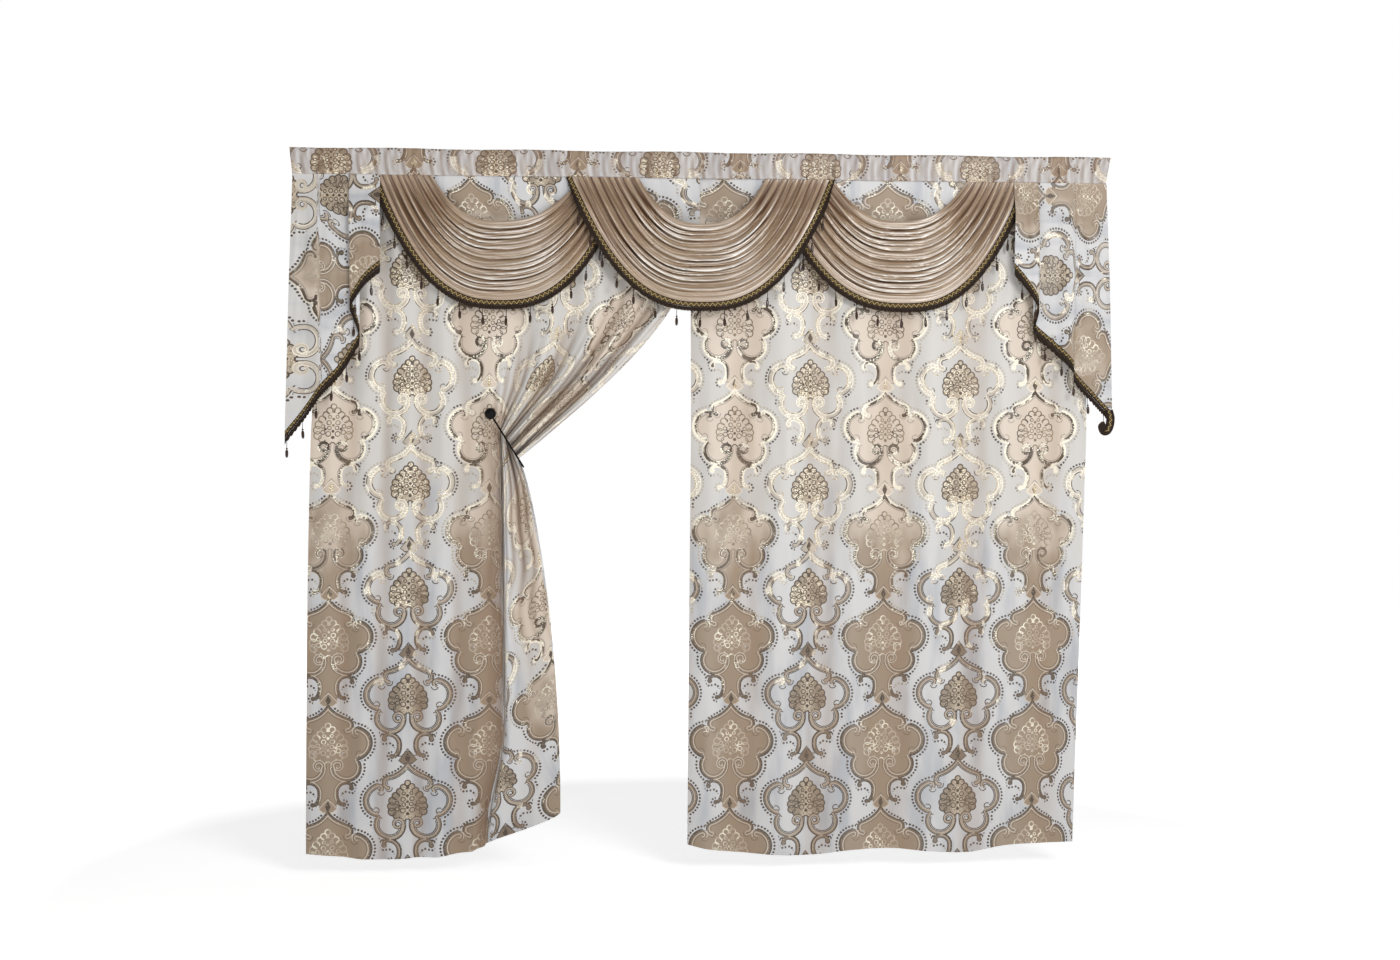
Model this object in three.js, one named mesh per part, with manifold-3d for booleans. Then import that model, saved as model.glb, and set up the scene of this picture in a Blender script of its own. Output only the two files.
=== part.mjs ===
// A pair of damask blackout curtain panels under a valance of three pleated satin swags
// and two tails. The left panel is gathered and held by a magnetic tie-back.
// Millimetres, +Z up, +X to the right as seen from the room, +Y towards the wall.
// The origin is the middle of the heading's top edge, from which everything hangs.
// "drop" is the distance below that edge, "across" is X and "depth" is Y.

import * as THREE from 'three';
import { mergeVertices } from 'three/addons/utils/BufferGeometryUtils.js';
import Module from 'manifold-3d';

const wasm = await Module();
wasm.setup();

// ---------------------------------------------------------------- driving dimensions

const GAP = 0.3; // between pieces that are sewn edge to edge
const SEAM_GAP = 0.5; // below the heading
const PANEL_THICK = 2; // coated blackout damask
const VALANCE_THICK = 1.6; // satin swags and damask tails

const HEADING = {
  left: -1413,
  right: 1412,
  leftLow: -1403,
  rightLow: 1394,
  height: 91,
  backDepth: 3,
  topThick: 4,
  lowThick: 8, // the sewn-in tops of the swags and tails make the lower seam thicker
  pucker: 1.4,
  puckerWidth: 92,
  topRipple: 1.5,
};
const SEAM_DROP = HEADING.height + SEAM_GAP;

const TAIL_GAP = 4.4; // measured straight down, across the slanting hems of the tails

const BRAID = { width: 18, thick: 3, tailDrop: 24, tailThick: VALANCE_THICK };
const SKIRT = { width: 16, narrow: 4, thick: VALANCE_THICK, tailDrop: 18 };
const BEAD = {
  pitch: 82,
  hang: 60,
  length: 26,
  radius: 4.5,
  thread: 1.2,
  sewnIn: 3,
  sides: 3,
  skirtShare: 0.6, // how far down the skirt the threads are sewn
};
const BEAD_CLEAR_OF_SEAM = 70;

const PANEL_TOP_DROP = 12; // the panels' tops are sewn to the back of the heading
const PANEL_PLANE = 24; // depth at which the panels hang once clear of the heading
const PLANE_REACHED = { from: 60, over: 340 };
const WAVES_GROW = { from: 95, over: 300 };

// The tie-back's cord crosses the front of the bundle between these two points.
const TIE = {
  ballRadius: 19.5,
  ballAcross: -737,
  ballDrop: 901,
  frontBallDepth: -19,
  backBallDepth: 26.5,
  cordRadius: 3,
  gatherAcross: -722,
  gatherDrop: 925,
  edgeAcross: -643,
  edgeDrop: 1053,
};

// Left panel, one row for each crest or valley of its folds, from the wall side to the
// leading edge. flat: distance along the cut width. top: across at the heading.
// hang: depth of the soft fold in the free cloth. tie, tieDepth: place at the level of
// the tie-back. hem, hemDepth, hemDrop: place at the hem.
const LEFT_FOLDS = [
  { flat: 0, top: -1404, hang: 5, tie: -1341, tieDepth: 5, hem: -1361, hemDepth: 5, hemDrop: 2396 },
  { flat: 62, top: -1345, hang: -9, tie: -1282, tieDepth: -9, hem: -1302, hemDepth: -8, hemDrop: 2400 },
  { flat: 128, top: -1283, hang: 8, tie: -1219, tieDepth: 8, hem: -1239, hemDepth: 7, hemDrop: 2407 },
  { flat: 196, top: -1219, hang: -8, tie: -1154, tieDepth: -8, hem: -1173, hemDepth: -9, hemDrop: 2414 },
  { flat: 262, top: -1156, hang: 9, tie: -1091, tieDepth: 9, hem: -1110, hemDepth: 8, hemDrop: 2418 },
  { flat: 330, top: -1092, hang: -10, tie: -1027, tieDepth: -10, hem: -1044, hemDepth: -9, hemDrop: 2415 },
  { flat: 396, top: -1030, hang: 7, tie: -964, tieDepth: 7, hem: -980, hemDepth: 8, hemDrop: 2412 },
  { flat: 462, top: -967, hang: -8, tie: -901, tieDepth: -8, hem: -915, hemDepth: -8, hemDrop: 2411 },
  { flat: 530, top: -903, hang: 7, tie: -836, tieDepth: 8, hem: -848, hemDepth: 9, hemDrop: 2400 },
  { flat: 600, top: -837, hang: -6, tie: -769, tieDepth: -4, hem: -778, hemDepth: -4, hemDrop: 2392 },
  { flat: 675, top: -770, hang: -8, tie: -712, tieDepth: -30, hem: -706, hemDepth: -12, hemDrop: 2380 },
  { flat: 775, top: -686, hang: 8, tie: -705, tieDepth: 36, hem: -680, hemDepth: 76, hemDrop: 2368 },
  { flat: 872, top: -604, hang: -9, tie: -697, tieDepth: -38, hem: -668, hemDepth: -14, hemDrop: 2356 },
  { flat: 962, top: -516, hang: 7, tie: -688, tieDepth: 34, hem: -585, hemDepth: -4, hemDrop: 2318 },
  { flat: 1052, top: -418, hang: -8, tie: -679, tieDepth: -36, hem: -500, hemDepth: -6, hemDrop: 2262 },
  { flat: 1130, top: -333, hang: 7, tie: -670, tieDepth: 32, hem: -572, hemDepth: 10, hemDrop: 2240 },
  { flat: 1205, top: -251, hang: -7, tie: -661, tieDepth: -34, hem: -506, hemDepth: 28, hemDrop: 2228 },
  { flat: 1285, top: -162, hang: 6, tie: -652, tieDepth: 30, hem: -578, hemDepth: 46, hemDrop: 2218 },
  { flat: 1360, top: -78, hang: -6, tie: -647, tieDepth: -30, hem: -514, hemDepth: 62, hemDrop: 2208 },
  { flat: 1410, top: -22, hang: -2, tie: -643, tieDepth: 4, hem: -556, hemDepth: 78, hemDrop: 2204 },
];
const LEFT_LEAN = { shift: 65, from: 95, over: 450, fullTo: 900, noneAt: 1410 };
const SWEEP = { reach: 0.78, first: 0.3 }; // how fast the folds fan out above the tie-back
const FALL_POWER = 0.7; // how fast they open below it
const LEFT_ROWS_ABOVE = [1, 0.9, 0.72, 0.54, 0.38, 0.24, 0.13, 0.05];
const LEFT_ROWS_BELOW = [0, 0.04, 0.1, 0.2, 0.36, 0.58, 0.8, 1];

// Right panel, one row for each crest or valley. top, hang, hem: across at the heading,
// at mid height and at the hem. wave: depth of the fold.
const RIGHT_FOLDS = [
  { flat: 0, top: -98, hang: -51, hem: -64, wave: 6, hemDrop: 2380 },
  { flat: 75, top: -30, hang: 20, hem: 3, wave: -9, hemDrop: 2395 },
  { flat: 215, top: 120, hang: 152, hem: 131, wave: 8, hemDrop: 2410 },
  { flat: 345, top: 253, hang: 275, hem: 257, wave: -10, hemDrop: 2419 },
  { flat: 490, top: 400, hang: 412, hem: 394, wave: 9, hemDrop: 2419 },
  { flat: 610, top: 522, hang: 526, hem: 507, wave: -8, hemDrop: 2404 },
  { flat: 760, top: 675, hang: 667, hem: 648, wave: 10, hemDrop: 2402 },
  { flat: 890, top: 807, hang: 790, hem: 775, wave: -9, hemDrop: 2412 },
  { flat: 1040, top: 960, hang: 932, hem: 921, wave: 8, hemDrop: 2418 },
  { flat: 1170, top: 1092, hang: 1055, hem: 1040, wave: -10, hemDrop: 2394 },
  { flat: 1320, top: 1245, hang: 1197, hem: 1180, wave: 9, hemDrop: 2390 },
  { flat: 1465, top: 1392, hang: 1334, hem: 1283, wave: 2, hemDrop: 2386 },
];
const RIGHT_HANG = { from: 95, over: 450, mid: 960, toHem: 1440 };
// The upper part of its edge lies this much further back, behind the left panel's edge.
const RIGHT_BACK = { depth: 8, fullTo: 75, width: 140, from: 520, over: 250 };
const RIGHT_ROWS = [0, 0.035, 0.1, 0.17, 0.28, 0.4, 0.62, 0.82, 1];

// Swags: the upper (inner) and lower (outer) edges of the pleated cloth. left and right
// are where each edge meets the seam, low is across at its lowest point and sag is how
// far that point hangs below the seam. seat: depth at the seam. belly: how far the
// folds stand forward of it.
const SWAGS = {
  left: {
    inner: { left: -935, low: -715, right: -430, sag: 154 },
    outer: { left: -1119, low: -705, right: -286, sag: 423 },
    seat: 1,
    belly: 14,
    foldHeight: 8,
  },
  centre: {
    inner: { left: -232, low: -22, right: 203, sag: 162 },
    outer: { left: -460, low: -17, right: 424, sag: 427 },
    seat: -3.6,
    belly: 40,
    foldHeight: 9,
  },
  right: {
    inner: { left: 440, low: 665, right: 904, sag: 141 },
    outer: { left: 227, low: 682, right: 1100, sag: 423 },
    seat: 1,
    belly: 14,
    foldHeight: 8,
  },
};
const SWAG_POWER = 2.55; // shape of the hanging curve
const SWAG_COLUMNS = 12;
const BELLY_OVER = 120;
const FOLD_OVER = 110;
// One row for each crest (rise 1) and valley (rise -1) between the upper and lower edge.
const SWAG_FOLDS = [
  { at: 0, rise: 0.2 },
  { at: 0.06, rise: 1 },
  { at: 0.12, rise: -0.8 },
  { at: 0.19, rise: 0.9 },
  { at: 0.25, rise: -1 },
  { at: 0.32, rise: 1 },
  { at: 0.38, rise: -0.8 },
  { at: 0.44, rise: 0.9 },
  { at: 0.51, rise: -1 },
  { at: 0.57, rise: 1 },
  { at: 0.64, rise: -0.9 },
  { at: 0.7, rise: 1 },
  { at: 0.77, rise: -1 },
  { at: 0.83, rise: 1 },
  { at: 0.9, rise: -0.7 },
  { at: 0.95, rise: 0 },
  { at: 1, rise: 0 },
];

// Tails, one row for each turn of their pleats from the inner edge outwards.
const TAILS = {
  left: [
    { flat: 0, top: -1109, topDepth: -3.8, hem: -1106, hemDepth: -38, hemDrop: 383 },
    { flat: 60, top: -1162, topDepth: -3.8, hem: -1158, hemDepth: -36, hemDrop: 427 },
    { flat: 108, top: -1210, topDepth: -3.8, hem: -1202, hemDepth: -34, hemDrop: 492 },
    { flat: 114, top: -1214, topDepth: -2.6, hem: -1208, hemDepth: -30, hemDrop: 505 },
    { flat: 120, top: -1210, topDepth: -1.4, hem: -1204, hemDepth: -26, hemDrop: 518 },
    { flat: 150, top: -1180, topDepth: -1.2, hem: -1182, hemDepth: -20, hemDrop: 580 },
    { flat: 156, top: -1175, topDepth: 0.1, hem: -1177, hemDepth: -16, hemDrop: 605 },
    { flat: 162, top: -1180, topDepth: 1.3, hem: -1180, hemDepth: -12, hemDrop: 628 },
    { flat: 240, top: -1248, topDepth: 1, hem: -1246, hemDepth: -14, hemDrop: 735 },
    { flat: 315, top: -1318, topDepth: -1, hem: -1306, hemDepth: -24, hemDrop: 802 },
    { flat: 380, top: -1368, topDepth: 0, hem: -1362, hemDepth: -12, hemDrop: 880 },
    { flat: 450, top: -1403, topDepth: 0, hem: -1426, hemDepth: -18, hemDrop: 962 },
  ],
  right: [
    { flat: 0, top: 1072, topDepth: -3.8, hem: 1064, hemDepth: -38, hemDrop: 374 },
    { flat: 50, top: 1112, topDepth: -3.8, hem: 1106, hemDepth: -36, hemDrop: 422 },
    { flat: 96, top: 1152, topDepth: -3.8, hem: 1146, hemDepth: -34, hemDrop: 480 },
    { flat: 102, top: 1156, topDepth: -2.6, hem: 1152, hemDepth: -30, hemDrop: 498 },
    { flat: 108, top: 1152, topDepth: -1.4, hem: 1149, hemDepth: -26, hemDrop: 515 },
    { flat: 126, top: 1138, topDepth: -1.2, hem: 1142, hemDepth: -20, hemDrop: 545 },
    { flat: 132, top: 1133, topDepth: 0.1, hem: 1136, hemDepth: -16, hemDrop: 562 },
    { flat: 138, top: 1138, topDepth: 1.3, hem: 1140, hemDepth: -12, hemDrop: 580 },
    { flat: 230, top: 1222, topDepth: 1, hem: 1218, hemDepth: -16, hemDrop: 650 },
    { flat: 300, top: 1282, topDepth: -1, hem: 1272, hemDepth: -28, hemDrop: 708 },
    { flat: 318, top: 1294, topDepth: 0, hem: 1280, hemDepth: -20, hemDrop: 745 },
    { flat: 400, top: 1352, topDepth: 0.5, hem: 1350, hemDepth: -14, hemDrop: 820 },
    { flat: 470, top: 1398, topDepth: 0, hem: 1412, hemDepth: -20, hemDrop: 889 },
  ],
};
const TAIL_ROWS = [0, 0.1, 0.25, 0.5, 0.75, 1];
const TAIL_OPENS = 0.45; // share of a pleat's length over which it reaches its full depth
const BRAID_END = { across: 1405, depth: -20, from: 894, to: 972, step: 7, curl: 8, width: 12 };

// ---------------------------------------------------------------- materials

function material(color, roughness, metalness = 0) {
  return new THREE.MeshStandardMaterial({ color, roughness, metalness });
}

const damask = material(0xd2cbc2, 0.55, 0.1);
const satin = material(0xa58c73, 0.35);
const braidYarn = material(0x2b1d12, 0.8);
const fringeYarn = material(0x3a2516, 0.7);
const blackPlastic = material(0x0c0b0b, 0.35);
const blackCord = material(0x120f0e, 0.85);

// ---------------------------------------------------------------- helpers

const lerp = (a, b, t) => a + (b - a) * t;
const clamp = (t) => Math.min(1, Math.max(0, t));
const smooth = (t) => clamp(t) ** 2 * (3 - 2 * clamp(t));
const grows = (ramp, drop) => smooth((drop - ramp.from) / ramp.over);

// Reads one column of a table as a smooth curve over its key column.
function readTable(rows, key, column, at) {
  let first = 0;
  while (first < rows.length - 2 && at > rows[first + 1][key]) first += 1;
  const slopeAt = (index) => {
    const before = rows[Math.max(index - 1, 0)];
    const after = rows[Math.min(index + 1, rows.length - 1)];
    return (after[column] - before[column]) / (after[key] - before[key]);
  };
  const start = rows[first];
  const end = rows[first + 1];
  const span = end[key] - start[key];
  const t = (at - start[key]) / span;
  const startWeight = 2 * t ** 3 - 3 * t ** 2 + 1;
  const startSlope = (t ** 3 - 2 * t ** 2 + t) * span * slopeAt(first);
  const endSlope = (t ** 3 - t ** 2) * span * slopeAt(first + 1);
  return startWeight * start[column] + startSlope + (1 - startWeight) * end[column] + endSlope;
}

// The key values of a table with one more between each two.
function withMidpoints(rows, key) {
  const values = [];
  rows.forEach((row, index) => {
    if (index > 0) values.push((rows[index - 1][key] + row[key]) / 2);
    values.push(row[key]);
  });
  return values;
}

function evenSteps(count, from = 0, to = 1) {
  return Array.from({ length: count + 1 }, (unused, index) => lerp(from, to, index / count));
}

// A closed sheet of cloth about the surface pointAt(u, v), with u across and v down.
function sheetGeometry(pointAt, us, vs, thicknessAt) {
  const columns = us.length;
  const rows = vs.length;
  const middle = vs.map((v) => us.map((u) => pointAt(u, v)));
  const positions = [];
  for (const side of [0.5, -0.5]) {
    for (let j = 0; j < rows; j += 1) {
      for (let i = 0; i < columns; i += 1) {
        const across = middle[j][Math.min(i + 1, columns - 1)].clone();
        across.sub(middle[j][Math.max(i - 1, 0)]);
        const down = middle[Math.min(j + 1, rows - 1)][i].clone();
        down.sub(middle[Math.max(j - 1, 0)][i]);
        const normal = down.cross(across).normalize();
        const thickness = thicknessAt(us[i], vs[j]);
        const point = middle[j][i].clone().addScaledVector(normal, side * thickness);
        positions.push(point.x, point.y, point.z);
      }
    }
  }
  const front = (i, j) => j * columns + i;
  const back = (i, j) => columns * rows + front(i, j);
  const indices = [];
  for (let j = 0; j < rows - 1; j += 1) {
    for (let i = 0; i < columns - 1; i += 1) {
      indices.push(front(i, j), front(i, j + 1), front(i + 1, j + 1));
      indices.push(front(i, j), front(i + 1, j + 1), front(i + 1, j));
      indices.push(back(i, j), back(i + 1, j + 1), back(i, j + 1));
      indices.push(back(i, j), back(i + 1, j), back(i + 1, j + 1));
    }
  }
  const rim = [];
  for (let j = 0; j < rows - 1; j += 1) rim.push([0, j]);
  for (let i = 0; i < columns - 1; i += 1) rim.push([i, rows - 1]);
  for (let j = rows - 1; j > 0; j -= 1) rim.push([columns - 1, j]);
  for (let i = columns - 1; i > 0; i -= 1) rim.push([i, 0]);
  rim.forEach(([i, j], index) => {
    const [nextI, nextJ] = rim[(index + 1) % rim.length];
    indices.push(front(nextI, nextJ), front(i, j), back(i, j));
    indices.push(front(nextI, nextJ), back(i, j), back(nextI, nextJ));
  });
  const geometry = new THREE.BufferGeometry();
  geometry.setAttribute('position', new THREE.Float32BufferAttribute(positions, 3));
  geometry.setIndex(indices);
  if (signedVolume(geometry) < 0) turnInsideOut(geometry);
  return geometry;
}

function signedVolume(geometry) {
  const corners = [new THREE.Vector3(), new THREE.Vector3(), new THREE.Vector3()];
  const index = geometry.index;
  let volume = 0;
  for (let i = 0; i < index.count; i += 3) {
    corners.forEach((corner, k) => {
      corner.fromBufferAttribute(geometry.attributes.position, index.getX(i + k));
    });
    volume += corners[0].dot(corners[1].clone().cross(corners[2])) / 6;
  }
  return volume;
}

function turnInsideOut(geometry) {
  const index = geometry.index;
  for (let i = 0; i < index.count; i += 3) {
    const second = index.getX(i + 1);
    index.setX(i + 1, index.getX(i + 2));
    index.setX(i + 2, second);
  }
}

function toManifold(geometry) {
  const bare = geometry.clone();
  bare.deleteAttribute('normal');
  bare.deleteAttribute('uv');
  const merged = mergeVertices(bare);
  const mesh = new wasm.Mesh({
    numProp: 3,
    vertProperties: new Float32Array(merged.attributes.position.array),
    triVerts: new Uint32Array(merged.index.array),
  });
  return new wasm.Manifold(mesh);
}

function joined(geometries) {
  const solid = geometries.map(toManifold).reduce((whole, piece) => whole.add(piece));
  const mesh = solid.getMesh();
  const geometry = new THREE.BufferGeometry();
  geometry.setAttribute('position', new THREE.BufferAttribute(mesh.vertProperties, 3));
  geometry.setIndex(new THREE.BufferAttribute(mesh.triVerts, 1));
  return geometry;
}

const curtain = new THREE.Group();

function addPiece(name, geometry, finish) {
  const mesh = new THREE.Mesh(geometry, finish);
  mesh.name = name;
  curtain.add(mesh);
}

// ---------------------------------------------------------------- heading

// The back is flat. The front is puckered by the gathering of the stitched-in tops.
function headingThickness(across, v) {
  const pucker = Math.sin((across / HEADING.puckerWidth) * 2 * Math.PI);
  const finer = Math.sin((across / HEADING.puckerWidth) * 5.3);
  return lerp(HEADING.topThick, HEADING.lowThick, v) + HEADING.pucker * (0.6 * pucker + 0.4 * finer);
}

function headingPoint(u, v) {
  const topAcross = lerp(HEADING.left, HEADING.right, u);
  const across = lerp(topAcross, lerp(HEADING.leftLow, HEADING.rightLow, u), v);
  const ripple = HEADING.topRipple * (1 - v) * (1 + Math.sin(topAcross / 75));
  const depth = HEADING.backDepth - headingThickness(topAcross, v) / 2;
  return new THREE.Vector3(across, depth, -lerp(ripple, HEADING.height, v));
}

function headingGeometry() {
  const thickness = (u, v) => headingThickness(lerp(HEADING.left, HEADING.right, u), v);
  return sheetGeometry(headingPoint, evenSteps(40), evenSteps(1), thickness);
}

// ---------------------------------------------------------------- panels

const PANEL_TOP_DEPTH = HEADING.backDepth + 0.5 + PANEL_THICK / 2;

function panelPlane(drop) {
  return lerp(PANEL_TOP_DEPTH, PANEL_PLANE, grows(PLANE_REACHED, drop));
}

// Drop of the tie-back's line: level where the panel hangs free, then down along the cord.
function tieDrop(across) {
  const along = clamp((across - TIE.gatherAcross) / (TIE.edgeAcross - TIE.gatherAcross));
  return lerp(TIE.gatherDrop, TIE.edgeDrop, along);
}

// v runs from 1 at the heading to 0 at the tie-back, and on to -1 at the hem.
function leftPanelPoint(flat, v) {
  const read = (column) => readTable(LEFT_FOLDS, 'flat', column, flat);
  const tie = read('tie');
  const hang = read('hang');
  const level = tieDrop(tie);
  if (v < 0) {
    const fall = Math.sin((Math.PI / 2) * (-v) ** FALL_POWER);
    return new THREE.Vector3(
      lerp(tie, read('hem'), fall),
      PANEL_PLANE + lerp(read('tieDepth'), read('hemDepth'), fall),
      -lerp(level, read('hemDrop'), -v),
    );
  }
  const drop = lerp(level, PANEL_TOP_DROP, v);
  const leanShare = clamp((LEFT_LEAN.noneAt - flat) / (LEFT_LEAN.noneAt - LEFT_LEAN.fullTo));
  const free = read('top') + LEFT_LEAN.shift * leanShare * grows(LEFT_LEAN, drop);
  const along = clamp((tie - TIE.gatherAcross) / (TIE.edgeAcross - TIE.gatherAcross));
  const reach = SWEEP.reach * lerp(SWEEP.first, 1, along);
  const spread = Math.sin((Math.PI / 2) * Math.min(1, v / reach));
  const gathered = Math.sqrt(1 - spread ** 2);
  const wave = lerp(hang, read('tieDepth'), gathered) * grows(WAVES_GROW, drop);
  return new THREE.Vector3(lerp(tie, free, spread), panelPlane(drop) + wave, -drop);
}

function leftPanelGeometry() {
  const below = LEFT_ROWS_BELOW.map((share) => -share);
  const rows = [...LEFT_ROWS_ABOVE, 0, ...below.slice(1)];
  return sheetGeometry(leftPanelPoint, withMidpoints(LEFT_FOLDS, 'flat'), rows, () => PANEL_THICK);
}

function rightPanelPoint(flat, v) {
  const read = (column) => readTable(RIGHT_FOLDS, 'flat', column, flat);
  const drop = lerp(PANEL_TOP_DROP, read('hemDrop'), v);
  const below = clamp((drop - RIGHT_HANG.mid) / RIGHT_HANG.toHem);
  const across = lerp(read('top'), read('hang'), grows(RIGHT_HANG, drop)) +
    (read('hem') - read('hang')) * below;
  const wave = read('wave') * grows(WAVES_GROW, drop);
  const edge = 1 - smooth((flat - RIGHT_BACK.fullTo) / RIGHT_BACK.width);
  const back = RIGHT_BACK.depth * edge * (1 - grows(RIGHT_BACK, drop));
  const depth = panelPlane(drop) + wave + back;
  return new THREE.Vector3(across, depth, -drop);
}

function rightPanelGeometry() {
  const columns = withMidpoints(RIGHT_FOLDS, 'flat');
  return sheetGeometry(rightPanelPoint, columns, RIGHT_ROWS, () => PANEL_THICK);
}

// ---------------------------------------------------------------- swags

// p runs from -1 to 1 between the two ends at the seam, q from the upper edge to the
// lower edge, and beyond is the distance past the lower edge.
function swagPoint(swag, p, q, beyond = 0) {
  const side = p < 0 ? 'left' : 'right';
  const innerHalf = Math.abs(swag.inner[side] - swag.inner.low);
  const outerHalf = Math.abs(swag.outer[side] - swag.outer.low);
  const half = lerp(innerHalf, outerHalf, q) + beyond;
  const sag = lerp(swag.inner.sag, swag.outer.sag, q) + beyond;
  const below = sag * (1 - Math.abs(p) ** SWAG_POWER);
  const rise = readTable(SWAG_FOLDS, 'at', 'rise', q) * smooth(below / FOLD_OVER);
  const depth = swag.seat - swag.belly * smooth(below / BELLY_OVER) - swag.foldHeight * rise;
  const across = lerp(swag.inner.low, swag.outer.low, q) + p * half;
  return new THREE.Vector3(across, depth, -(SEAM_DROP + below));
}

// Steps across a swag, closer together in the two steep arms.
function swagSteps(count) {
  return evenSteps(count, -1, 1).map((t) => Math.sin((t * Math.PI) / 2));
}

function swagGeometry(swag) {
  const folds = SWAG_FOLDS.map((row) => row.at);
  const pointAt = (p, q) => swagPoint(swag, p, q);
  return sheetGeometry(pointAt, swagSteps(SWAG_COLUMNS), folds, () => VALANCE_THICK);
}

// ---------------------------------------------------------------- tails

function tailPoint(table, flat, v, below = 0) {
  const read = (column) => readTable(table, 'flat', column, flat);
  const drop = lerp(SEAM_DROP, read('hemDrop'), v) + below;
  const open = smooth(v / TAIL_OPENS);
  const depth = lerp(read('topDepth'), read('hemDepth'), open);
  return new THREE.Vector3(lerp(read('top'), read('hem'), v), depth, -drop);
}

function tailColumns(table) {
  return table.map((row) => row.flat);
}

function tailGeometry(table) {
  const pointAt = (flat, v) => tailPoint(table, flat, v);
  return sheetGeometry(pointAt, tailColumns(table), TAIL_ROWS, () => VALANCE_THICK);
}

// ---------------------------------------------------------------- braid and bead fringe

// edgeAt(u, beyond) is a point past the free edge of a swag or tail.
function stripGeometry(edgeAt, us, from, toAt, thick) {
  const pointAt = (u, v) => edgeAt(u, lerp(from, toAt(u), v));
  return sheetGeometry(pointAt, us, [0, 1], () => thick);
}

// The thread and its long bead, hanging from a point of the skirt.
function beadGeometry(point) {
  const profile = [
    new THREE.Vector2(0, -BEAD.hang),
    new THREE.Vector2(BEAD.radius, -BEAD.hang + BEAD.length / 2),
    new THREE.Vector2(BEAD.thread, -BEAD.hang + BEAD.length),
    new THREE.Vector2(BEAD.thread, BEAD.sewnIn),
    new THREE.Vector2(0, BEAD.sewnIn),
  ];
  const geometry = new THREE.LatheGeometry(profile, BEAD.sides);
  geometry.rotateX(Math.PI / 2);
  geometry.translate(point.x, point.y, point.z);
  return geometry;
}

// Points at an even pitch along a line of points, clear of the seam.
function beadPoints(line) {
  const points = [];
  let untilNext = BEAD.pitch / 2;
  for (let k = 1; k < line.length; k += 1) {
    const span = line[k].distanceTo(line[k - 1]);
    let at = untilNext;
    for (; at <= span; at += BEAD.pitch) {
      const point = line[k - 1].clone().lerp(line[k], at / span);
      if (-point.z > SEAM_DROP + BEAD_CLEAR_OF_SEAM) points.push(point);
    }
    untilNext = at - span;
  }
  return points;
}

function fringeGeometry(edgeAt, us, from, toAt) {
  const skirt = stripGeometry(edgeAt, us, from, toAt, SKIRT.thick);
  const line = us.map((u) => edgeAt(u, lerp(from, toAt(u), BEAD.skirtShare)));
  const beads = beadPoints(line).map(beadGeometry);
  return joined([skirt, ...beads]);
}

function addSwag(name, swag) {
  addPiece(`swag_${name}`, swagGeometry(swag), satin);
  const edgeAt = (p, beyond) => swagPoint(swag, p, 1, beyond);
  const steps = swagSteps(SWAG_COLUMNS);
  const braid = stripGeometry(edgeAt, steps, GAP, () => BRAID.width, BRAID.thick);
  addPiece(`braid_swag_${name}`, braid, braidYarn);
  const skirtFrom = BRAID.width + GAP;
  const skirtTo = (p) => {
    const below = SEAM_DROP + edgeAt(p, 0).z;
    return skirtFrom + lerp(SKIRT.narrow, SKIRT.width, smooth(-below / FOLD_OVER));
  };
  addPiece(`fringe_swag_${name}`, fringeGeometry(edgeAt, steps, skirtFrom, skirtTo), fringeYarn);
}

// The loose end of the braid that hangs below the right tail's tip.
function braidEndGeometry() {
  const pointAt = (u, v) => new THREE.Vector3(
    BRAID_END.across + (u - 0.5) * BRAID_END.width + BRAID_END.curl * v * (1 - v),
    BRAID_END.depth - BRAID_END.step * smooth(v * 8) - BRAID_END.curl * v ** 2,
    -lerp(BRAID_END.from, BRAID_END.to, v),
  );
  return sheetGeometry(pointAt, [0, 1], [0, 0.06, 0.125, 0.45, 0.75, 1], () => BRAID.thick);
}

function addTail(name, table, extra = []) {
  addPiece(`jabot_${name}`, tailGeometry(table), damask);
  const edgeAt = (flat, below) => tailPoint(table, flat, 1, below);
  const columns = tailColumns(table);
  const strip = stripGeometry(edgeAt, columns, TAIL_GAP, () => BRAID.tailDrop, BRAID.tailThick);
  const braid = extra.length > 0 ? joined([strip, ...extra]) : strip;
  addPiece(`braid_jabot_${name}`, braid, braidYarn);
  const skirtFrom = BRAID.tailDrop + TAIL_GAP;
  const skirtTo = () => skirtFrom + SKIRT.tailDrop;
  addPiece(`fringe_jabot_${name}`, fringeGeometry(edgeAt, columns, skirtFrom, skirtTo), fringeYarn);
}

// ---------------------------------------------------------------- tie-back

function ballGeometry(depth) {
  const geometry = new THREE.SphereGeometry(TIE.ballRadius, 14, 10);
  geometry.translate(TIE.ballAcross, depth, -TIE.ballDrop);
  return geometry;
}

// The cord's route. along runs from the balls to the panel's leading edge and depth
// towards the wall. It passes over the folds, round the leading edge and back behind
// them to the second ball.
const CORD_ROUTE = [
  { along: 20.3, depth: -19.3 },
  { along: 36, depth: -19.6 },
  { along: 60, depth: -20 },
  { along: 95, depth: -20.5 },
  { along: 130, depth: -20.5 },
  { along: 165, depth: -20 },
  { along: 188, depth: -17 },
  { along: 204, depth: -4 },
  { along: 211, depth: 22 },
  { along: 204, depth: 48 },
  { along: 188, depth: 61 },
  { along: 165, depth: 65 },
  { along: 130, depth: 66.5 },
  { along: 95, depth: 66.5 },
  { along: 62, depth: 66 },
  { along: 44, depth: 58 },
  { along: 31, depth: 44 },
  { along: 19.4, depth: 33 },
];

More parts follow.
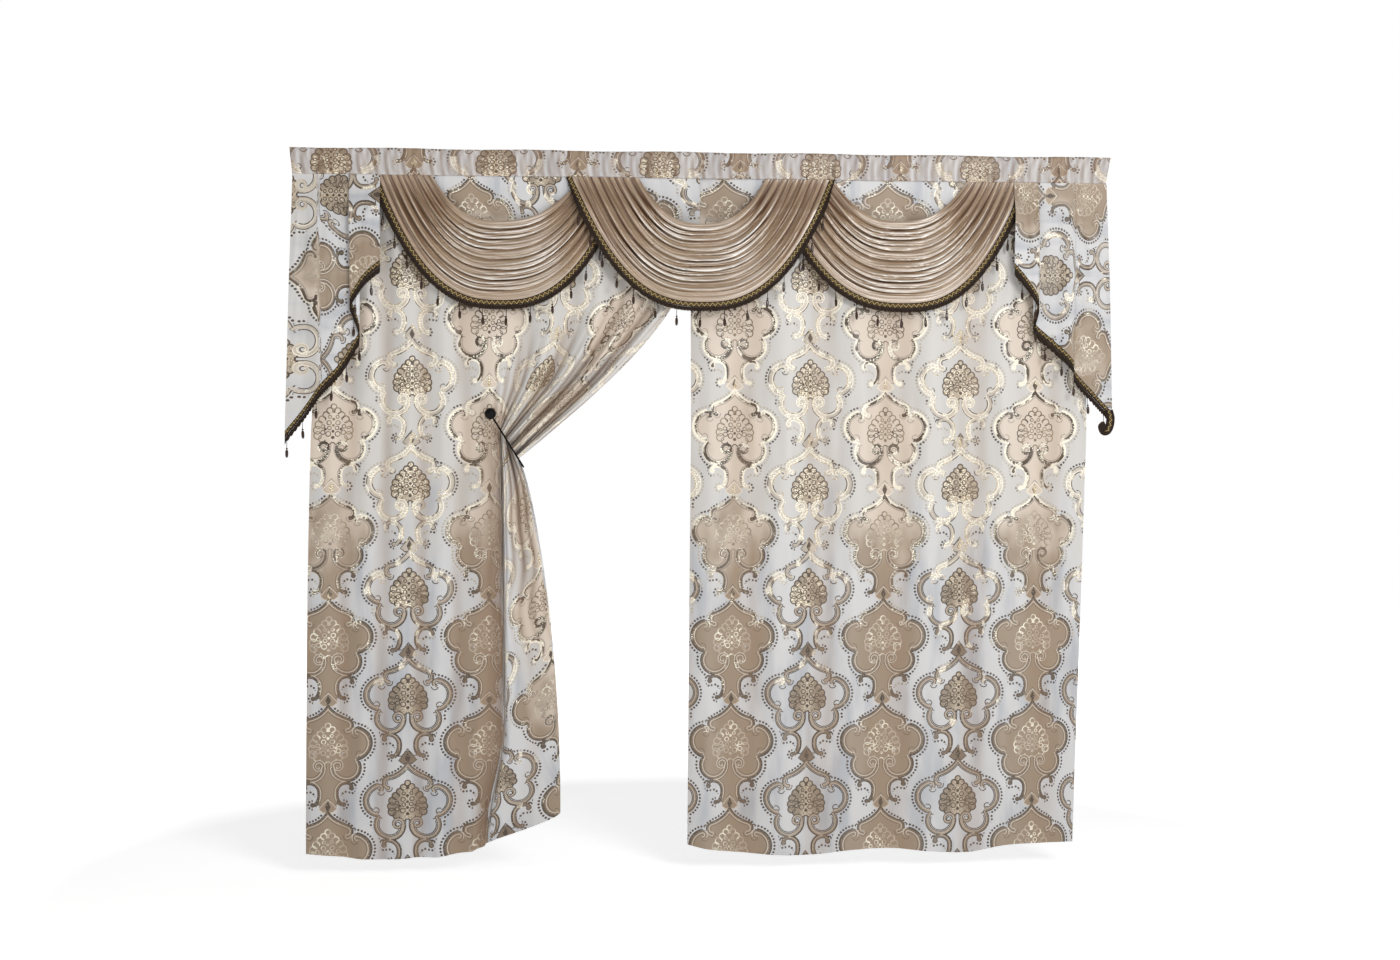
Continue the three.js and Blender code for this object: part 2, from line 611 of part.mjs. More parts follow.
function cordGeometry() {
  const run = new THREE.Vector2(TIE.edgeAcross - TIE.ballAcross, TIE.edgeDrop - TIE.ballDrop).normalize();
  const points = CORD_ROUTE.map(({ along, depth }) => {
    return new THREE.Vector3(TIE.ballAcross + run.x * along, depth, -(TIE.ballDrop + run.y * along));
  });
  const section = new THREE.Shape();
  section.absarc(0, 0, TIE.cordRadius, 0, 2 * Math.PI);
  return new THREE.ExtrudeGeometry(section, {
    steps: 40,
    curveSegments: 4,
    bevelEnabled: false,
    extrudePath: new THREE.CatmullRomCurve3(points),
  });
}

// ---------------------------------------------------------------- the whole curtain

addPiece('heading', headingGeometry(), damask);
addPiece('panel_left', leftPanelGeometry(), damask);
addPiece('panel_right', rightPanelGeometry(), damask);
addSwag('left', SWAGS.left);
addSwag('centre', SWAGS.centre);
addSwag('right', SWAGS.right);
addTail('left', TAILS.left);
addTail('right', TAILS.right, [braidEndGeometry()]);
addPiece('tie_ball_front', ballGeometry(TIE.frontBallDepth), blackPlastic);
addPiece('tie_ball_back', ballGeometry(TIE.backBallDepth), blackPlastic);
addPiece('tie_cord', cordGeometry(), blackCord);

export default curtain;
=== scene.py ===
"""The looks of the tied-back damask curtain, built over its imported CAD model."""

import math
from functools import partial, reduce

import bpy
import numpy as np
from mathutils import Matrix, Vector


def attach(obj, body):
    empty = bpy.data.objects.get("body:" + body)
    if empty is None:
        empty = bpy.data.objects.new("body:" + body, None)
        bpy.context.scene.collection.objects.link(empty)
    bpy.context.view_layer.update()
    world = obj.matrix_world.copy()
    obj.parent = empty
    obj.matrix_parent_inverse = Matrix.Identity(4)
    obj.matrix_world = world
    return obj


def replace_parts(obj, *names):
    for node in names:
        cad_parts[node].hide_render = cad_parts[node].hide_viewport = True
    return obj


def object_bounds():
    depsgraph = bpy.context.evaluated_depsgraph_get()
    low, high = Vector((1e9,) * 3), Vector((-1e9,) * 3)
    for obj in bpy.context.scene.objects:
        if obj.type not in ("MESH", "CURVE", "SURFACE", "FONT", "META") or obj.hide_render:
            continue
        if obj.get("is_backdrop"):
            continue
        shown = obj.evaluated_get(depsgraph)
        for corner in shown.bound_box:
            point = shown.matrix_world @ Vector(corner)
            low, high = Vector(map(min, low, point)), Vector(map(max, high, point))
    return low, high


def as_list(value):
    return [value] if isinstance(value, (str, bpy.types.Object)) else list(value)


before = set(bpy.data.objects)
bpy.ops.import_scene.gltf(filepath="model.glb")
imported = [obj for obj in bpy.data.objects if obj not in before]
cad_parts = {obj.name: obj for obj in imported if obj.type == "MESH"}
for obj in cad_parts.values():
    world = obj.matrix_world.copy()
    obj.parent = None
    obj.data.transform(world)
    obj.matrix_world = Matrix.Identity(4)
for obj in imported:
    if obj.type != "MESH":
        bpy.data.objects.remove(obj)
cad_low, cad_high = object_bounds()

MM = 0.001

# How the damask's painted light shows: the level of cloth painted unlit, and the most
# and the least of the metal thread's painted gleam.
UNLIT = -2.3
BRIGHT, DULL = 0.46, 0.75

# ------------------------ camera

CAMERA_TURN = math.radians(4.2)
CAMERA_AWAY = 6.67
CAMERA_HEIGHT = -1.218
CAMERA_TARGET = -0.022

camera_data = bpy.data.cameras.new("camera")
camera_data.lens = 50
camera_data.sensor_width = 36
camera_data.shift_y = 0.0193
camera = bpy.data.objects.new("camera", camera_data)
camera.location = (
    CAMERA_TARGET - CAMERA_AWAY * math.sin(CAMERA_TURN),
    -CAMERA_AWAY * math.cos(CAMERA_TURN),
    CAMERA_HEIGHT,
)
camera.rotation_euler = (math.radians(90), 0, -CAMERA_TURN)
bpy.context.scene.collection.objects.link(camera)
bpy.context.scene.camera = camera

# ------------------------ helpers
# The tables and formulas below are the CAD solids' own, in millimetres, with finer
# folds added. across is X, depth is Y and drop is the distance below the top edge.


def lerp(a, b, t):
    return a + (b - a) * t


def clamp(t):
    return np.clip(t, 0.0, 1.0)


def smooth(t):
    t = clamp(t)
    return t * t * (3 - 2 * t)


def step(at, start, end):
    """0 at start and 1 at end, smoothly."""
    return smooth((at - start) / (end - start))


def wave(at, length, phase=0.0):
    return np.sin(2 * np.pi * at / length + phase)


def bump(at, middle, half):
    """1 at the middle, falling smoothly to 0 at half on each side."""
    return smooth(1 - np.abs(at - middle) / half)


class Table:
    """A table with named columns, read as smooth curves over its first column."""

    def __init__(self, columns, rows):
        values = np.array(rows, float).T
        self.columns = dict(zip(columns.split(), values))
        self.keys = values[0]

    def read(self, column, at):
        keys, values = self.keys, self.columns[column]
        index = np.arange(len(keys))
        before, after = np.maximum(index - 1, 0), np.minimum(index + 1, len(keys) - 1)
        slope = (values[after] - values[before]) / (keys[after] - keys[before])
        first = np.searchsorted(keys[1:-1], at, side="left")
        span = keys[first + 1] - keys[first]
        t = (at - keys[first]) / span
        start_slope = t * (1 - t) ** 2 * span * slope[first]
        end_slope = t**2 * (1 - t) * span * slope[first + 1]
        between = lerp(values[first], values[first + 1], t**2 * (3 - 2 * t))
        return between + start_slope - end_slope


def steps_between(keys, count):
    """The keys with count - 1 even steps between each two."""
    parts = [np.linspace(a, b, count, endpoint=False) for a, b in zip(keys, keys[1:])]
    return np.concatenate(parts + [[keys[-1]]])


def stacked(*values):
    return np.stack(np.broadcast_arrays(*values), axis=-1)


def points(across, depth, drop):
    """Points in millimetres, one for each place of the grid."""
    return stacked(across, depth, -np.asarray(drop))


def normals_of(middle):
    normal = np.cross(np.gradient(middle, axis=0), np.gradient(middle, axis=1))
    return normal / np.maximum(np.linalg.norm(normal, axis=-1, keepdims=True), 1e-9)


def lengths(grid, axis=0):
    """How far along the cloth or the line each point lies."""
    steps = np.diff(grid, axis=axis, prepend=grid.take([0], axis))
    return np.cumsum(np.linalg.norm(steps, axis=-1), axis=axis)


def turns(sides):
    """Even steps round a circle."""
    return np.arange(sides) * 2 * np.pi / sides


def quads_of(grid):
    return np.stack([grid[:-1, :-1], grid[1:, :-1], grid[1:, 1:], grid[:-1, 1:]], -1).reshape(-1, 4)


def round_grid(first, rings, sides):
    """The numbers of the corners of rings of corners, each closed on itself."""
    grid = first + np.arange(rings * sides).reshape(rings, sides)
    return np.concatenate([grid, grid[:, :1]], axis=1)


def mesh_of(name, corners, faces):
    mesh = bpy.data.meshes.new(name)
    mesh.from_pydata((corners * MM).tolist(), [], faces)
    return mesh


def add_object(name, data):
    item = bpy.data.objects.new(name, data)
    bpy.context.scene.collection.objects.link(item)
    return item


def add_piece(name, node, mesh, material, slot, smooth_faces=True):
    """A piece of the body, which takes the place of a node's solid unless node is None."""
    piece = add_object(name, mesh)
    mesh.polygons.foreach_set("use_smooth", [smooth_faces] * len(mesh.polygons))
    mesh.materials.append(material)
    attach(piece, "root")
    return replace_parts(piece, node) if node else piece


def hollows(depth, window, reach):
    """1 deep in a fold and -1 on its ridge, against the depth averaged across window
    columns."""
    kernel = np.hanning(window + 2)[1:-1]
    padded = np.pad(depth, ((0, 0), (window // 2, window - 1 - window // 2)), mode="edge")
    level = np.stack([np.convolve(row, kernel / kernel.sum(), mode="valid") for row in padded])
    return np.clip((depth - level) / reach, -1, 1)


def sheet(name, node, middle, thick, cloth, material, slot, fold_shading=0.0, painted_lift=UNLIT, glint_needed=DULL):
    """A closed sheet about a grid of points. cloth holds the grid's two places on the flat
    cloth, in millimetres, which its weave and pattern follow. The last three arguments are
    painted light: how deep painted shade lies in its folds, or below 0 a painted highlight
    on their ridges, how much painted light the damask gets, and how seldom its metal thread
    gets a painted glint."""
    rows, columns = middle.shape[:2]
    side = normals_of(middle) * (np.broadcast_to(thick, (rows, columns))[..., None] / 2)
    if side[..., 1].mean() > 0:
        side = -side
    corners = np.concatenate([middle + side, middle - side]).reshape(-1, 3)
    grid = np.arange(rows * columns).reshape(rows, columns)
    quads = quads_of(grid)
    ring = np.concatenate([grid[:, 0], grid[-1, 1:], grid[-2::-1, -1], grid[0, -2:0:-1]])
    following = np.roll(ring, -1)
    back = rows * columns
    rim = np.stack([following, ring, ring + back, following + back], axis=-1)
    faces = np.concatenate([quads, quads[:, ::-1] + back, rim])
    mesh = mesh_of(name, corners, faces.tolist())
    place = stacked(*cloth, 0.0) * MM
    store(mesh, "cloth", np.concatenate([place, place + (0, 0, 1)]))
    light = stacked(painted_lift, glint_needed, fold_shading + np.zeros((rows, columns)))
    store(mesh, "light", np.concatenate([light, light * (1, 1, -1)]))
    mesh.set_sharp_from_angle(angle=math.radians(60))
    return add_piece(name, node, mesh, material, slot)


def store(mesh, name, values):
    attribute = mesh.attributes.new(name, "FLOAT_VECTOR", "POINT")
    attribute.data.foreach_set("vector", np.asarray(values, np.float32).ravel())


# ------------------------ shader graphs


def operator(operation):
    return lambda wire, other: wire.graph.math(operation, wire, other)


class Wire:
    """A socket that can be added, multiplied and compared like a number."""

    __add__ = __radd__ = operator("ADD")
    __mul__ = __rmul__ = operator("MULTIPLY")
    __sub__ = operator("SUBTRACT")
    __truediv__ = operator("DIVIDE")
    __lt__ = operator("LESS_THAN")
    __gt__ = operator("GREATER_THAN")

    def __init__(self, graph, socket):
        self.graph, self.socket = graph, socket

    def __rsub__(self, other):
        return self.graph.math("SUBTRACT", other, self)

    def __abs__(self):
        return self.graph.math("ABSOLUTE", self)


class Graph:
    """Builds the nodes of one material or world."""

    def __init__(self, owner, shader="BsdfPrincipled", output="OutputMaterial"):
        owner.use_nodes = True
        self.owner, self.tree = owner, owner.node_tree
        self.tree.nodes.clear()
        self.shader = self.add(shader)
        self.tree.links.new(self.shader.outputs[0], self.add(output).inputs[0])

    def add(self, kind, *values, **settings):
        """A node with its settings made, and values for its first sockets."""
        node = self.tree.nodes.new("ShaderNode" + kind)
        for key, value in settings.items():
            setattr(node, key, value)
        for value, socket in zip(values, node.inputs):
            self.plug(value, socket)
        return node

    def wire(self, output, kind, *values, **settings):
        return Wire(self, self.add(kind, *values, **settings).outputs[output])

    def plug(self, value, socket):
        if isinstance(value, Wire):
            self.tree.links.new(value.socket, socket)
        else:
            socket.default_value = value

    def math(self, operation, *values):
        return self.wire(0, "Math", *values, operation=operation)

    def least(self, *values):
        return reduce(partial(self.math, "MINIMUM"), values)

    def most(self, *values):
        return reduce(partial(self.math, "MAXIMUM"), values)

    def ramp(self, value, low, high):
        """0 at low and 1 at high, smoothly."""
        return self.wire("Result", "MapRange", value, low, high, interpolation_type="SMOOTHSTEP")

    def split(self, vector):
        return [Wire(self, socket) for socket in self.add("SeparateXYZ", vector).outputs]

    def attribute(self, name):
        return self.wire("Vector", "Attribute", attribute_name=name)

    def place(self):
        return self.wire("Position", "NewGeometry")

    def away(self, point, centre):
        return self.wire("Value", "VectorMath", point, (*centre, 0.0), operation="DISTANCE")

    def noise(self, vector, scale, detail=2.0):
        """scale is one number for all axes, or one for each."""
        if isinstance(scale, tuple):
            vector = self.wire("Vector", "VectorMath", vector, scale, operation="MULTIPLY")
            scale = 1.0
        node = self.add("TexNoise", vector)
        node.inputs["Scale"].default_value = scale
        node.inputs["Detail"].default_value = detail
        return Wire(self, node.outputs["Fac"])

    def mix(self, share, first, second):
        node = self.add("Mix", share, data_type="RGBA")
        for value, socket in zip((first, second), node.inputs[6:8]):
            self.plug(value if isinstance(value, Wire) else (*value, 1.0), socket)
        return Wire(self, node.outputs[2])

    def paint_fold_shade(self, colour, dark, bright):
        """Paints shade into colour in the folds' hollows and a painted highlight on their ridges."""
        fold_shading = self.split(self.attribute("light"))[2]
        painted_shade = self.most(fold_shading, 0.0) * dark
        raised = self.most(fold_shading * -1, 0.0) * bright
        shade = self.mix(painted_shade, linear(150, 120, 92), linear(86, 59, 39))
        return self.mix(raised, self.mix(painted_shade, colour, shade), (1.0, 0.97, 0.92))

    def relief(self, height, distance, strength):
        node = self.add("Bump")
        for name, value in (("Height", height), ("Distance", distance), ("Strength", strength)):
            self.plug(value, node.inputs[name])
        self.tree.links.new(node.outputs[0], self.shader.inputs["Normal"])

    def finish(self, colour, roughness, specular, **more):
        """Sets the shader's sockets, and more of them by their names in lower case."""
        named = {s.name.lower().replace(" ", "_"): s for s in self.shader.inputs}
        values = dict(base_color=colour, roughness=roughness, specular_ior_level=specular)
        for key, value in {**values, **more}.items():
            self.plug(value, named[key])
        return self.owner


def new_material(name):
    return Graph(bpy.data.materials.new(name))


def linear(red, green, blue):
    """An sRGB colour from 0 to 255 as linear light."""
    return tuple(
        c / 12.92 if c <= 0.04045 else ((c + 0.055) / 1.055) ** 2.4
        for c in (red / 255, green / 255, blue / 255)
    )


# ------------------------ damask
# The traditional ogee pattern, charted for half of one motif in millimetres. x runs out
# from the motif's middle line and y down from its tip. Filled motifs and plain ones
# stand in alternate columns.

CUT_PITCH, PITCH = 278.0, 260.0  # between columns, on the cut cloth and in the chart
REPEAT = 361.0  # down a column
PLAIN_BELOW = 197.0  # from a filled motif's tip to the next plain one's
TIP_ROOM = 62.0  # kept above the tip, for the foot of the motif above
SWAY, WIDEST = 42.0, 118.0  # of the border between two columns, and where it's farthest out
FAR = 1000.0

# Ribbon: x and y of each arc's centre, its radius, half the ribbon's width, and the
# limits between which it is drawn. A radius of 0 makes a disc.
RIBBON = [
    (88.3, -61.8, 103.7, 4.6, "x<60 y>-12"),
    (59, 58, 19, 4.6, "x>59"),
    (63, 75, 0, 5, ""),
    (86, 117, 52, 6.2, "x>96"),
    (95, 79, 11.5, 4, "x<97 y<88"),
    (101, 162, 0, 5, ""),
    (59, 200, 45, 5.2, "x>58 y>177"),
    (59, 200, 45, 5.2, "x<59 y>200"),
    (95, 175, 0, 4.6, ""),
    (29, 195, 15.5, 3.6, "y<202"),
    (31.5, 195, 13, 3.4, "x>31 y>194"),
    (30, 202, 6, 3, "x<31 y>199"),
    (60, 286, 32, 4.8, "x<60 y<286"),
    (79, 292, 51, 4.8, "x<60 y>286"),
    (79, -69, 51, 4.8, "x<49 y<-28"),
    (62, 270, 16, 4.6, "x>59 y<271"),
    (77, 271, 0, 7, ""),
    (51, -33, 0, 6.5, ""),
]
LINES = [
    (88.3, -61.8, 113.2, "x<54 y>0"),
    (57, 57, 10, "x>54 y<64"),
    (62, 76, 12, "x<71 y>72"),
    (86, 117, 41, "x>98 y<150"),
    (99, 87, 8.5, "x<100 y<93"),
    (87, 90, 11, "y>91"),
    (104, 154, 11, "x<109 y<159"),
    (59, 200, 34.5, "x>59 y>186"),
    (59, 200, 34.5, "x<59 y>206"),
    (89, 186, 8, "x>83 y<186"),
    (59, 200, 53.5, "x<48 y>203"),
    (30, 197, 7, "y<204"),
    (60, 286, 40.5, "x<46 y<286"),
    (79, 292, 59.5, "x<46 y>286"),
    (79, -69, 59.5, "x<46 y<-36"),
]
DOTS = [
    (88.3, -61.8, 91.5, "x<63 y>-5"),
    (59, 58, 28.5, "x>62 y<48"),
    (86, 117, 67.5, "x>87 y<178"),
    (59, 200, 61, "x>84 y>181"),
    (77, 271, 17, "x>67"),
    (62, 303, 19, "x<61 y<304"),
    (51, -33, 14.5, "x>50"),
]
DOT_STEP = 11.5
DOT_RADIUS = 3.9
# Petals round the edge of the leaf, then the discs that fill it.
PETALS = [
    (0, 57, 9), (13, 71, 10), (25, 86, 11), (38, 101, 12), (48, 119, 13),
    (52, 138, 13), (50, 156, 13), (35, 167, 12), (14, 174, 12),
]
LEAF_DISCS = [(0, 84, 14), (0, 104, 27), (0, 136, 44)]
LEAF_CURLS = [(12, 92, 5), (14, 112, 7), (12, 130, 6), (15, 150, 8), (34, 125, 6), (33, 145, 7)]
LEAF_DROPS = [(0, 74, 3), (0, 100, 3.5), (0, 121, 3), (0, 141, 3.5), (0, 162, 4), (25, 134, 3)]

# Painted light: in each pair from the silver to the line colours, the second is the cloth painted lit or
# gleaming where its satin float and metal thread would catch the light. GLINT is a painted glint, and
# OLD_GOLD the plain leaf's colour where it is painted lit.
SILVER_LOW, SILVER_LIT = linear(196, 195, 195), linear(194, 191, 187)
SILVER_HAZE = linear(168, 170, 175)
TAUPE_LOW, TAUPE_LIT = linear(146, 128, 108), linear(204, 190, 175)
RIBBON_DARK, RIBBON_LIT = linear(118, 102, 86), linear(205, 197, 184)
RIBBON_PALE = linear(164, 150, 134)
LEAF_DARK = linear(138, 124, 107)
EDGE_DARK, EDGE_LIT = linear(196, 183, 167), linear(232, 222, 202)
LINE_DARK, LINE_GLEAM = linear(74, 61, 48), linear(178, 158, 124)
GLINT, OLD_GOLD = linear(255, 250, 230), linear(160, 138, 104)
BACKING, BACK_THREAD = linear(206, 206, 208), linear(180, 177, 174)


def limited(g, distance, limits, x, y):
    """distance where all the limits hold, and far elsewhere."""
    for limit in limits.split():
        along, beyond = (x if limit[0] == "x" else y), float(limit[2:])
        missed = (along > beyond) if limit[1] == "<" else (along < beyond)
        distance = g.math("MULTIPLY_ADD", missed, FAR, distance)
    return distance


def damask_places(g):
    """Distances from the parts of the pattern, and which cloth is filled."""
    u, v, side = g.split(g.attribute("cloth"))
    u, v = u * (PITCH / CUT_PITCH / MM), v / MM
    from_filled = g.math("PINGPONG", u, PITCH)
    y_filled = g.math("WRAP", v, REPEAT - TIP_ROOM, -TIP_ROOM)
    y_plain = g.math("WRAP", v - PLAIN_BELOW, REPEAT - TIP_ROOM, -TIP_ROOM)
    sway = g.math("COSINE", (y_filled - WIDEST) * (2 * math.pi / REPEAT)) * SWAY
    filled = from_filled < sway + PITCH / 2
    x_plain = PITCH - from_filled
    x = filled * (from_filled - x_plain) + x_plain
    y = filled * (y_filled - y_plain) + y_plain
    point = g.wire(0, "CombineXYZ", x, y)
    away = {}

    def ring(cx, cy, radius):
        if (cx, cy) not in away:
            away[cx, cy] = g.away(point, (cx, cy))
        return away[cx, cy] - radius

    bands = []
    for cx, cy, radius, half, limits in RIBBON:
        band = abs(ring(cx, cy, radius)) if radius else ring(cx, cy, 0)
        bands.append(limited(g, band - half, limits, x, y))
    lines = [limited(g, abs(ring(cx, cy, r)), limits, x, y) for cx, cy, r, limits in LINES]
    lines.append(limited(g, abs(x - 5.5), "y>184 y<204", x, y))
    arch = y + 59 - x * 1.28
    lines.append(limited(g, abs(arch) * 0.62, "x<18 y<-32", x, y))
    lines.append(limited(g, abs(y + 35), "x<34 x>17", x, y))
    dots = []
    for cx, cy, radius, limits in DOTS:
        out = ring(cx, cy, radius)
        turn = g.math("ARCTAN2", y - cy, x - cx)
        along = g.math("PINGPONG", turn * radius, DOT_STEP / 2)
        dots.append(limited(g, out * out + along * along, limits, x, y))
    above = g.least(x < 61.0, ring(88.3, -61.8, 103.7) > 0.0, y > -6.0, y < 150.0)
    stem = g.least(x < 60.0, ring(60, 286, 32) > 0.0, y > 240.0, y < 287.0)
    inside = g.most(
        above, stem, g.least(x < 45.0, y > 100.0, y < 255.0),
        g.least(x < 28.0, g.most(y > 286.0, arch < 0.0)),
        ring(86, 117, 52) < 0.0, ring(59, 200, 45) < 0.0, ring(59, 58, 19) < 0.0,
    )
    cap = g.most(x + abs(y + 24) * 1.2 - 36, arch * -1, y + 6)
    drop = x + abs(y + 28) * 0.45 < 9.0
    petals = [ring(*petal) for petal in PETALS]
    discs = [ring(*disc) for disc in LEAF_DISCS]
    leaf = g.least(*petals, *discs)
    core = g.least(*discs[1:])
    veins = g.least(*[abs(petal) for petal in petals]) + (core < 0.0) * 9
    drawn = g.least(
        abs(leaf) - 0.6, veins,
        *[abs(ring(*curl)) for curl in LEAF_CURLS],
        *[ring(*spot) for spot in LEAF_DROPS],
    )
    return dict(
        side=side, filled=filled, plain=1 - filled, inside=inside * filled, within=inside,
        band=g.least(*bands), line=g.least(*lines), dots=g.least(*dots),
        leaf=leaf < 0.0, leaf_lines=g.least(drawn < 1.5, leaf < 1.5), leaf_rim=abs(leaf) < 2.2,
        cap=cap, drop=drop, out=x,
    )


def damask_material():
    g = new_material("damask")
    at = damask_places(g)
    cloth = g.attribute("cloth")
    painted_lift, glint_needed, _ = g.split(g.attribute("light"))
    broad = g.noise(cloth, (9, 5, 1), 2)
    patches = g.noise(cloth, (24, 13, 1), 2)
    specks = g.noise(cloth, (150, 320, 1), 1)
    # The satin float and the metal thread are painted lit, gleaming and sparkling, high on the cloth.
    rise = (broad - 0.5) * 0.9 + painted_lift
    lit = g.ramp(rise, -1.5, -1.08)
    gleam = g.ramp(patches - glint_needed, -0.03, 0.04)
    sparkle = g.ramp(specks + gleam * 0.1, 0.64, 0.7) * (gleam * 0.6 + 0.4)
    haze = g.noise(cloth, (13, 2.6, 1), 3)
    silver = g.mix(g.ramp(haze, 0.42, 0.72), SILVER_LOW, SILVER_HAZE)
    silver = g.mix(lit, silver, SILVER_LIT)
    taupe = g.mix(lit, TAUPE_LOW, TAUPE_LIT)
    plain, filled, within = at["plain"], at["filled"], at["within"]
    # Where no painted light falls the filled motifs' outer edge is dark and the inner one pale,
    # and where it is painted lit or gleaming the two change places.
    band_lit = g.most(gleam * 0.85, g.ramp(rise, -1.6, -1.25) * 0.6)
    plain_ribbon = g.mix(band_lit, g.mix(within, RIBBON_DARK, RIBBON_PALE), RIBBON_LIT)
    bright = g.ramp(patches - glint_needed, 0.1, 0.14)
    crescent = g.mix(lit, RIBBON_DARK, g.mix(bright, LINE_DARK, RIBBON_LIT))
    thick_crescent = g.ramp(glint_needed - patches, 0.01, 0.04)
    outer_lit = g.mix(thick_crescent, g.mix(gleam, RIBBON_LIT, EDGE_LIT), LINE_DARK)
    outer_band = g.mix(lit, g.mix(0.3, LINE_DARK, RIBBON_DARK), outer_lit)
    filled_ribbon = g.mix(within, outer_band, crescent)
    ribbon = g.mix(sparkle, g.mix(filled, plain_ribbon, filled_ribbon), GLINT)
    inner_rim = g.mix(lit, EDGE_DARK, g.mix(bright, LINE_DARK, EDGE_LIT))
    filled_rim = g.mix(within, g.mix(lit, LINE_DARK, EDGE_LIT), inner_rim)
    plain_rim = g.mix(g.most(gleam, within * lit), LINE_DARK, EDGE_LIT)
    edge = g.mix(sparkle, g.mix(filled, plain_rim, filled_rim), GLINT)
    # The lines, the plain leaf, the dots and the caps are painted gleaming and glinting where the metal
    # thread would catch the light.
    deep = g.mix(sparkle, g.mix(gleam, LINE_DARK, LINE_GLEAM), GLINT)
    thread = g.mix(filled, deep, g.mix(0.45, taupe, LINE_DARK))
    colour = g.mix(at["inside"], silver, taupe)
    leaf_lit = g.mix(g.ramp(specks, 0.4, 0.6), OLD_GOLD, RIBBON_LIT)
    leaf_gleam = g.most(gleam, lit * 0.75, g.ramp(at["out"], 32, 6) * 0.7)
    leaf_fill = g.mix(sparkle, g.mix(leaf_gleam, LEAF_DARK, leaf_lit), GLINT)
    colour = g.mix(at["leaf"] * plain, colour, leaf_fill)
    fine_thread = g.mix(gleam * 0.4, LINE_DARK, LINE_GLEAM)
    glitter = g.most(sparkle, g.ramp(patches, 0.5, 0.6) * 0.6)
    dull_thread = g.mix(glitter, g.mix(0.6, taupe, EDGE_DARK), GLINT)
    leaf_thread = g.mix(filled, LINE_DARK, g.mix(lit, dull_thread, fine_thread))
    colour = g.mix(at["leaf_lines"], colour, leaf_thread)
    colour = g.mix(at["leaf_rim"] * plain * 0.85, colour, LINE_DARK)
    colour = g.mix(at["line"] < 1.7, colour, thread)
    colour = g.mix(at["dots"] < DOT_RADIUS**2, colour, g.mix(gleam * 0.5, LINE_DARK, EDGE_LIT))
    cap_line = g.mix(filled, deep, g.mix(lit, EDGE_DARK, EDGE_LIT))
    cap = g.mix(at["cap"] > -4.0, g.mix(filled, plain_ribbon, taupe), cap_line)
    colour = g.mix(at["cap"] < 0.0, colour, cap)
    colour = g.mix(at["drop"], colour, deep)
    band = at["band"] + filled * 1.2 + plain * 0.6
    colour = g.mix(band < 2.8, colour, edge)
    colour = g.mix(band < 0.0, colour, ribbon)
    # Painted shade in the folds' hollows, and a painted highlight on their ridges.
    colour = g.paint_fold_shade(colour, 0.86, 0.15)
    # The reverse shows the pattern faintly, tone on tone.
    reverse = g.most(at["inside"] * 0.5, band < 0.0, at["leaf"] * plain * 0.7)
    colour = g.mix(at["side"] > 0.5, colour, g.mix(reverse, BACKING, BACK_THREAD))
    weave = g.noise(cloth, (900, 500, 1), 1)
    g.relief(weave, 0.0002, 0.5)
    metal = g.most(band < 2.0, at["leaf"] * plain)
    return g.finish(colour, 0.5 - metal * 0.12, 0.45, sheen_weight=0.1)


# ------------------------ other materials


def satin_material():
    """Pleated satin: cloth runs along the folds in x and across them in y."""
    g = new_material("satin")
    cloth = g.attribute("cloth")
    threads = g.noise(cloth, (12, 420, 1), 3)
    tone = g.noise(cloth, 9, 2)
    colour = g.mix(tone, linear(145, 123, 100), linear(166, 143, 119))
    colour = g.mix(g.ramp(threads, 0.5, 0.72) * 0.55, colour, linear(208, 191, 168))
    colour = g.mix(g.ramp(threads, 0.46, 0.3) * 0.4, colour, linear(104, 82, 62))
    # Painted shade in the folds' hollows, and a painted highlight on their ridges.
    colour = g.paint_fold_shade(colour, 0.76, 0.55)
    g.relief(threads, 0.0003, 0.4)
    return g.finish(colour, threads * 0.1 + 0.24, 0.9)


BRAID_WIDTH = 18.0
YARN_LOOP = 3.0


def braid_material():
    """Flat braid with a gold zigzag: cloth runs along it in x and across it in y."""
    g = new_material("braid")
    along, across, _ = g.split(g.attribute("cloth"))
    along, across = along / MM, across / MM
    middle = BRAID_WIDTH / 2
    zigzag = g.math("PINGPONG", along, 9) * 1.2 - 5.4
    gold = abs(across - middle - zigzag) < 2.1
    second = abs(across - middle + zigzag) < 1.2
    picot = g.math("PINGPONG", along, 1.6) * (1 / 1.6)
    edge = g.ramp(abs(across - middle), 6.4, 7.2)
    yarn = g.noise(g.attribute("cloth"), (700, 1100, 1), 1)
    dark = g.mix(yarn, linear(18, 12, 8), linear(46, 33, 22))
    thread = g.mix(yarn, linear(112, 90, 52), linear(190, 166, 110))
    colour = g.mix(g.most(gold, second * 0.4), dark, thread)
    colour = g.mix(edge, colour, g.mix(picot, linear(14, 9, 6), linear(56, 41, 28)))
    g.relief(g.most(gold, picot * edge), 0.0008, 0.7)
    return g.finish(colour, 0.7, 0.2)


def yarn_material():
    """Loops of the fringe's skirt, and the bead threads."""
    g = new_material("fringe_yarn")
    along = g.split(g.attribute("cloth"))[0] / MM
    loop = g.math("PINGPONG", along, YARN_LOOP / 2) * (2 / YARN_LOOP)
    fleck = g.noise(g.attribute("cloth"), (500, 90, 1), 2)
    colour = g.mix(loop, linear(14, 9, 6), linear(44, 30, 20))
    colour = g.mix(g.ramp(fleck, 0.5, 0.8) * 0.6, colour, linear(86, 64, 42))
    g.relief(loop, 0.0008, 0.6)
    return g.finish(colour, 0.75, 0.2)


def bead_material():
    g = new_material("bead")
    fleck = g.noise(g.place(), 60, 2)
    colour = g.mix(fleck, linear(30, 18, 12), linear(66, 44, 30))
    return g.finish(colour, 0.22, 0.5)


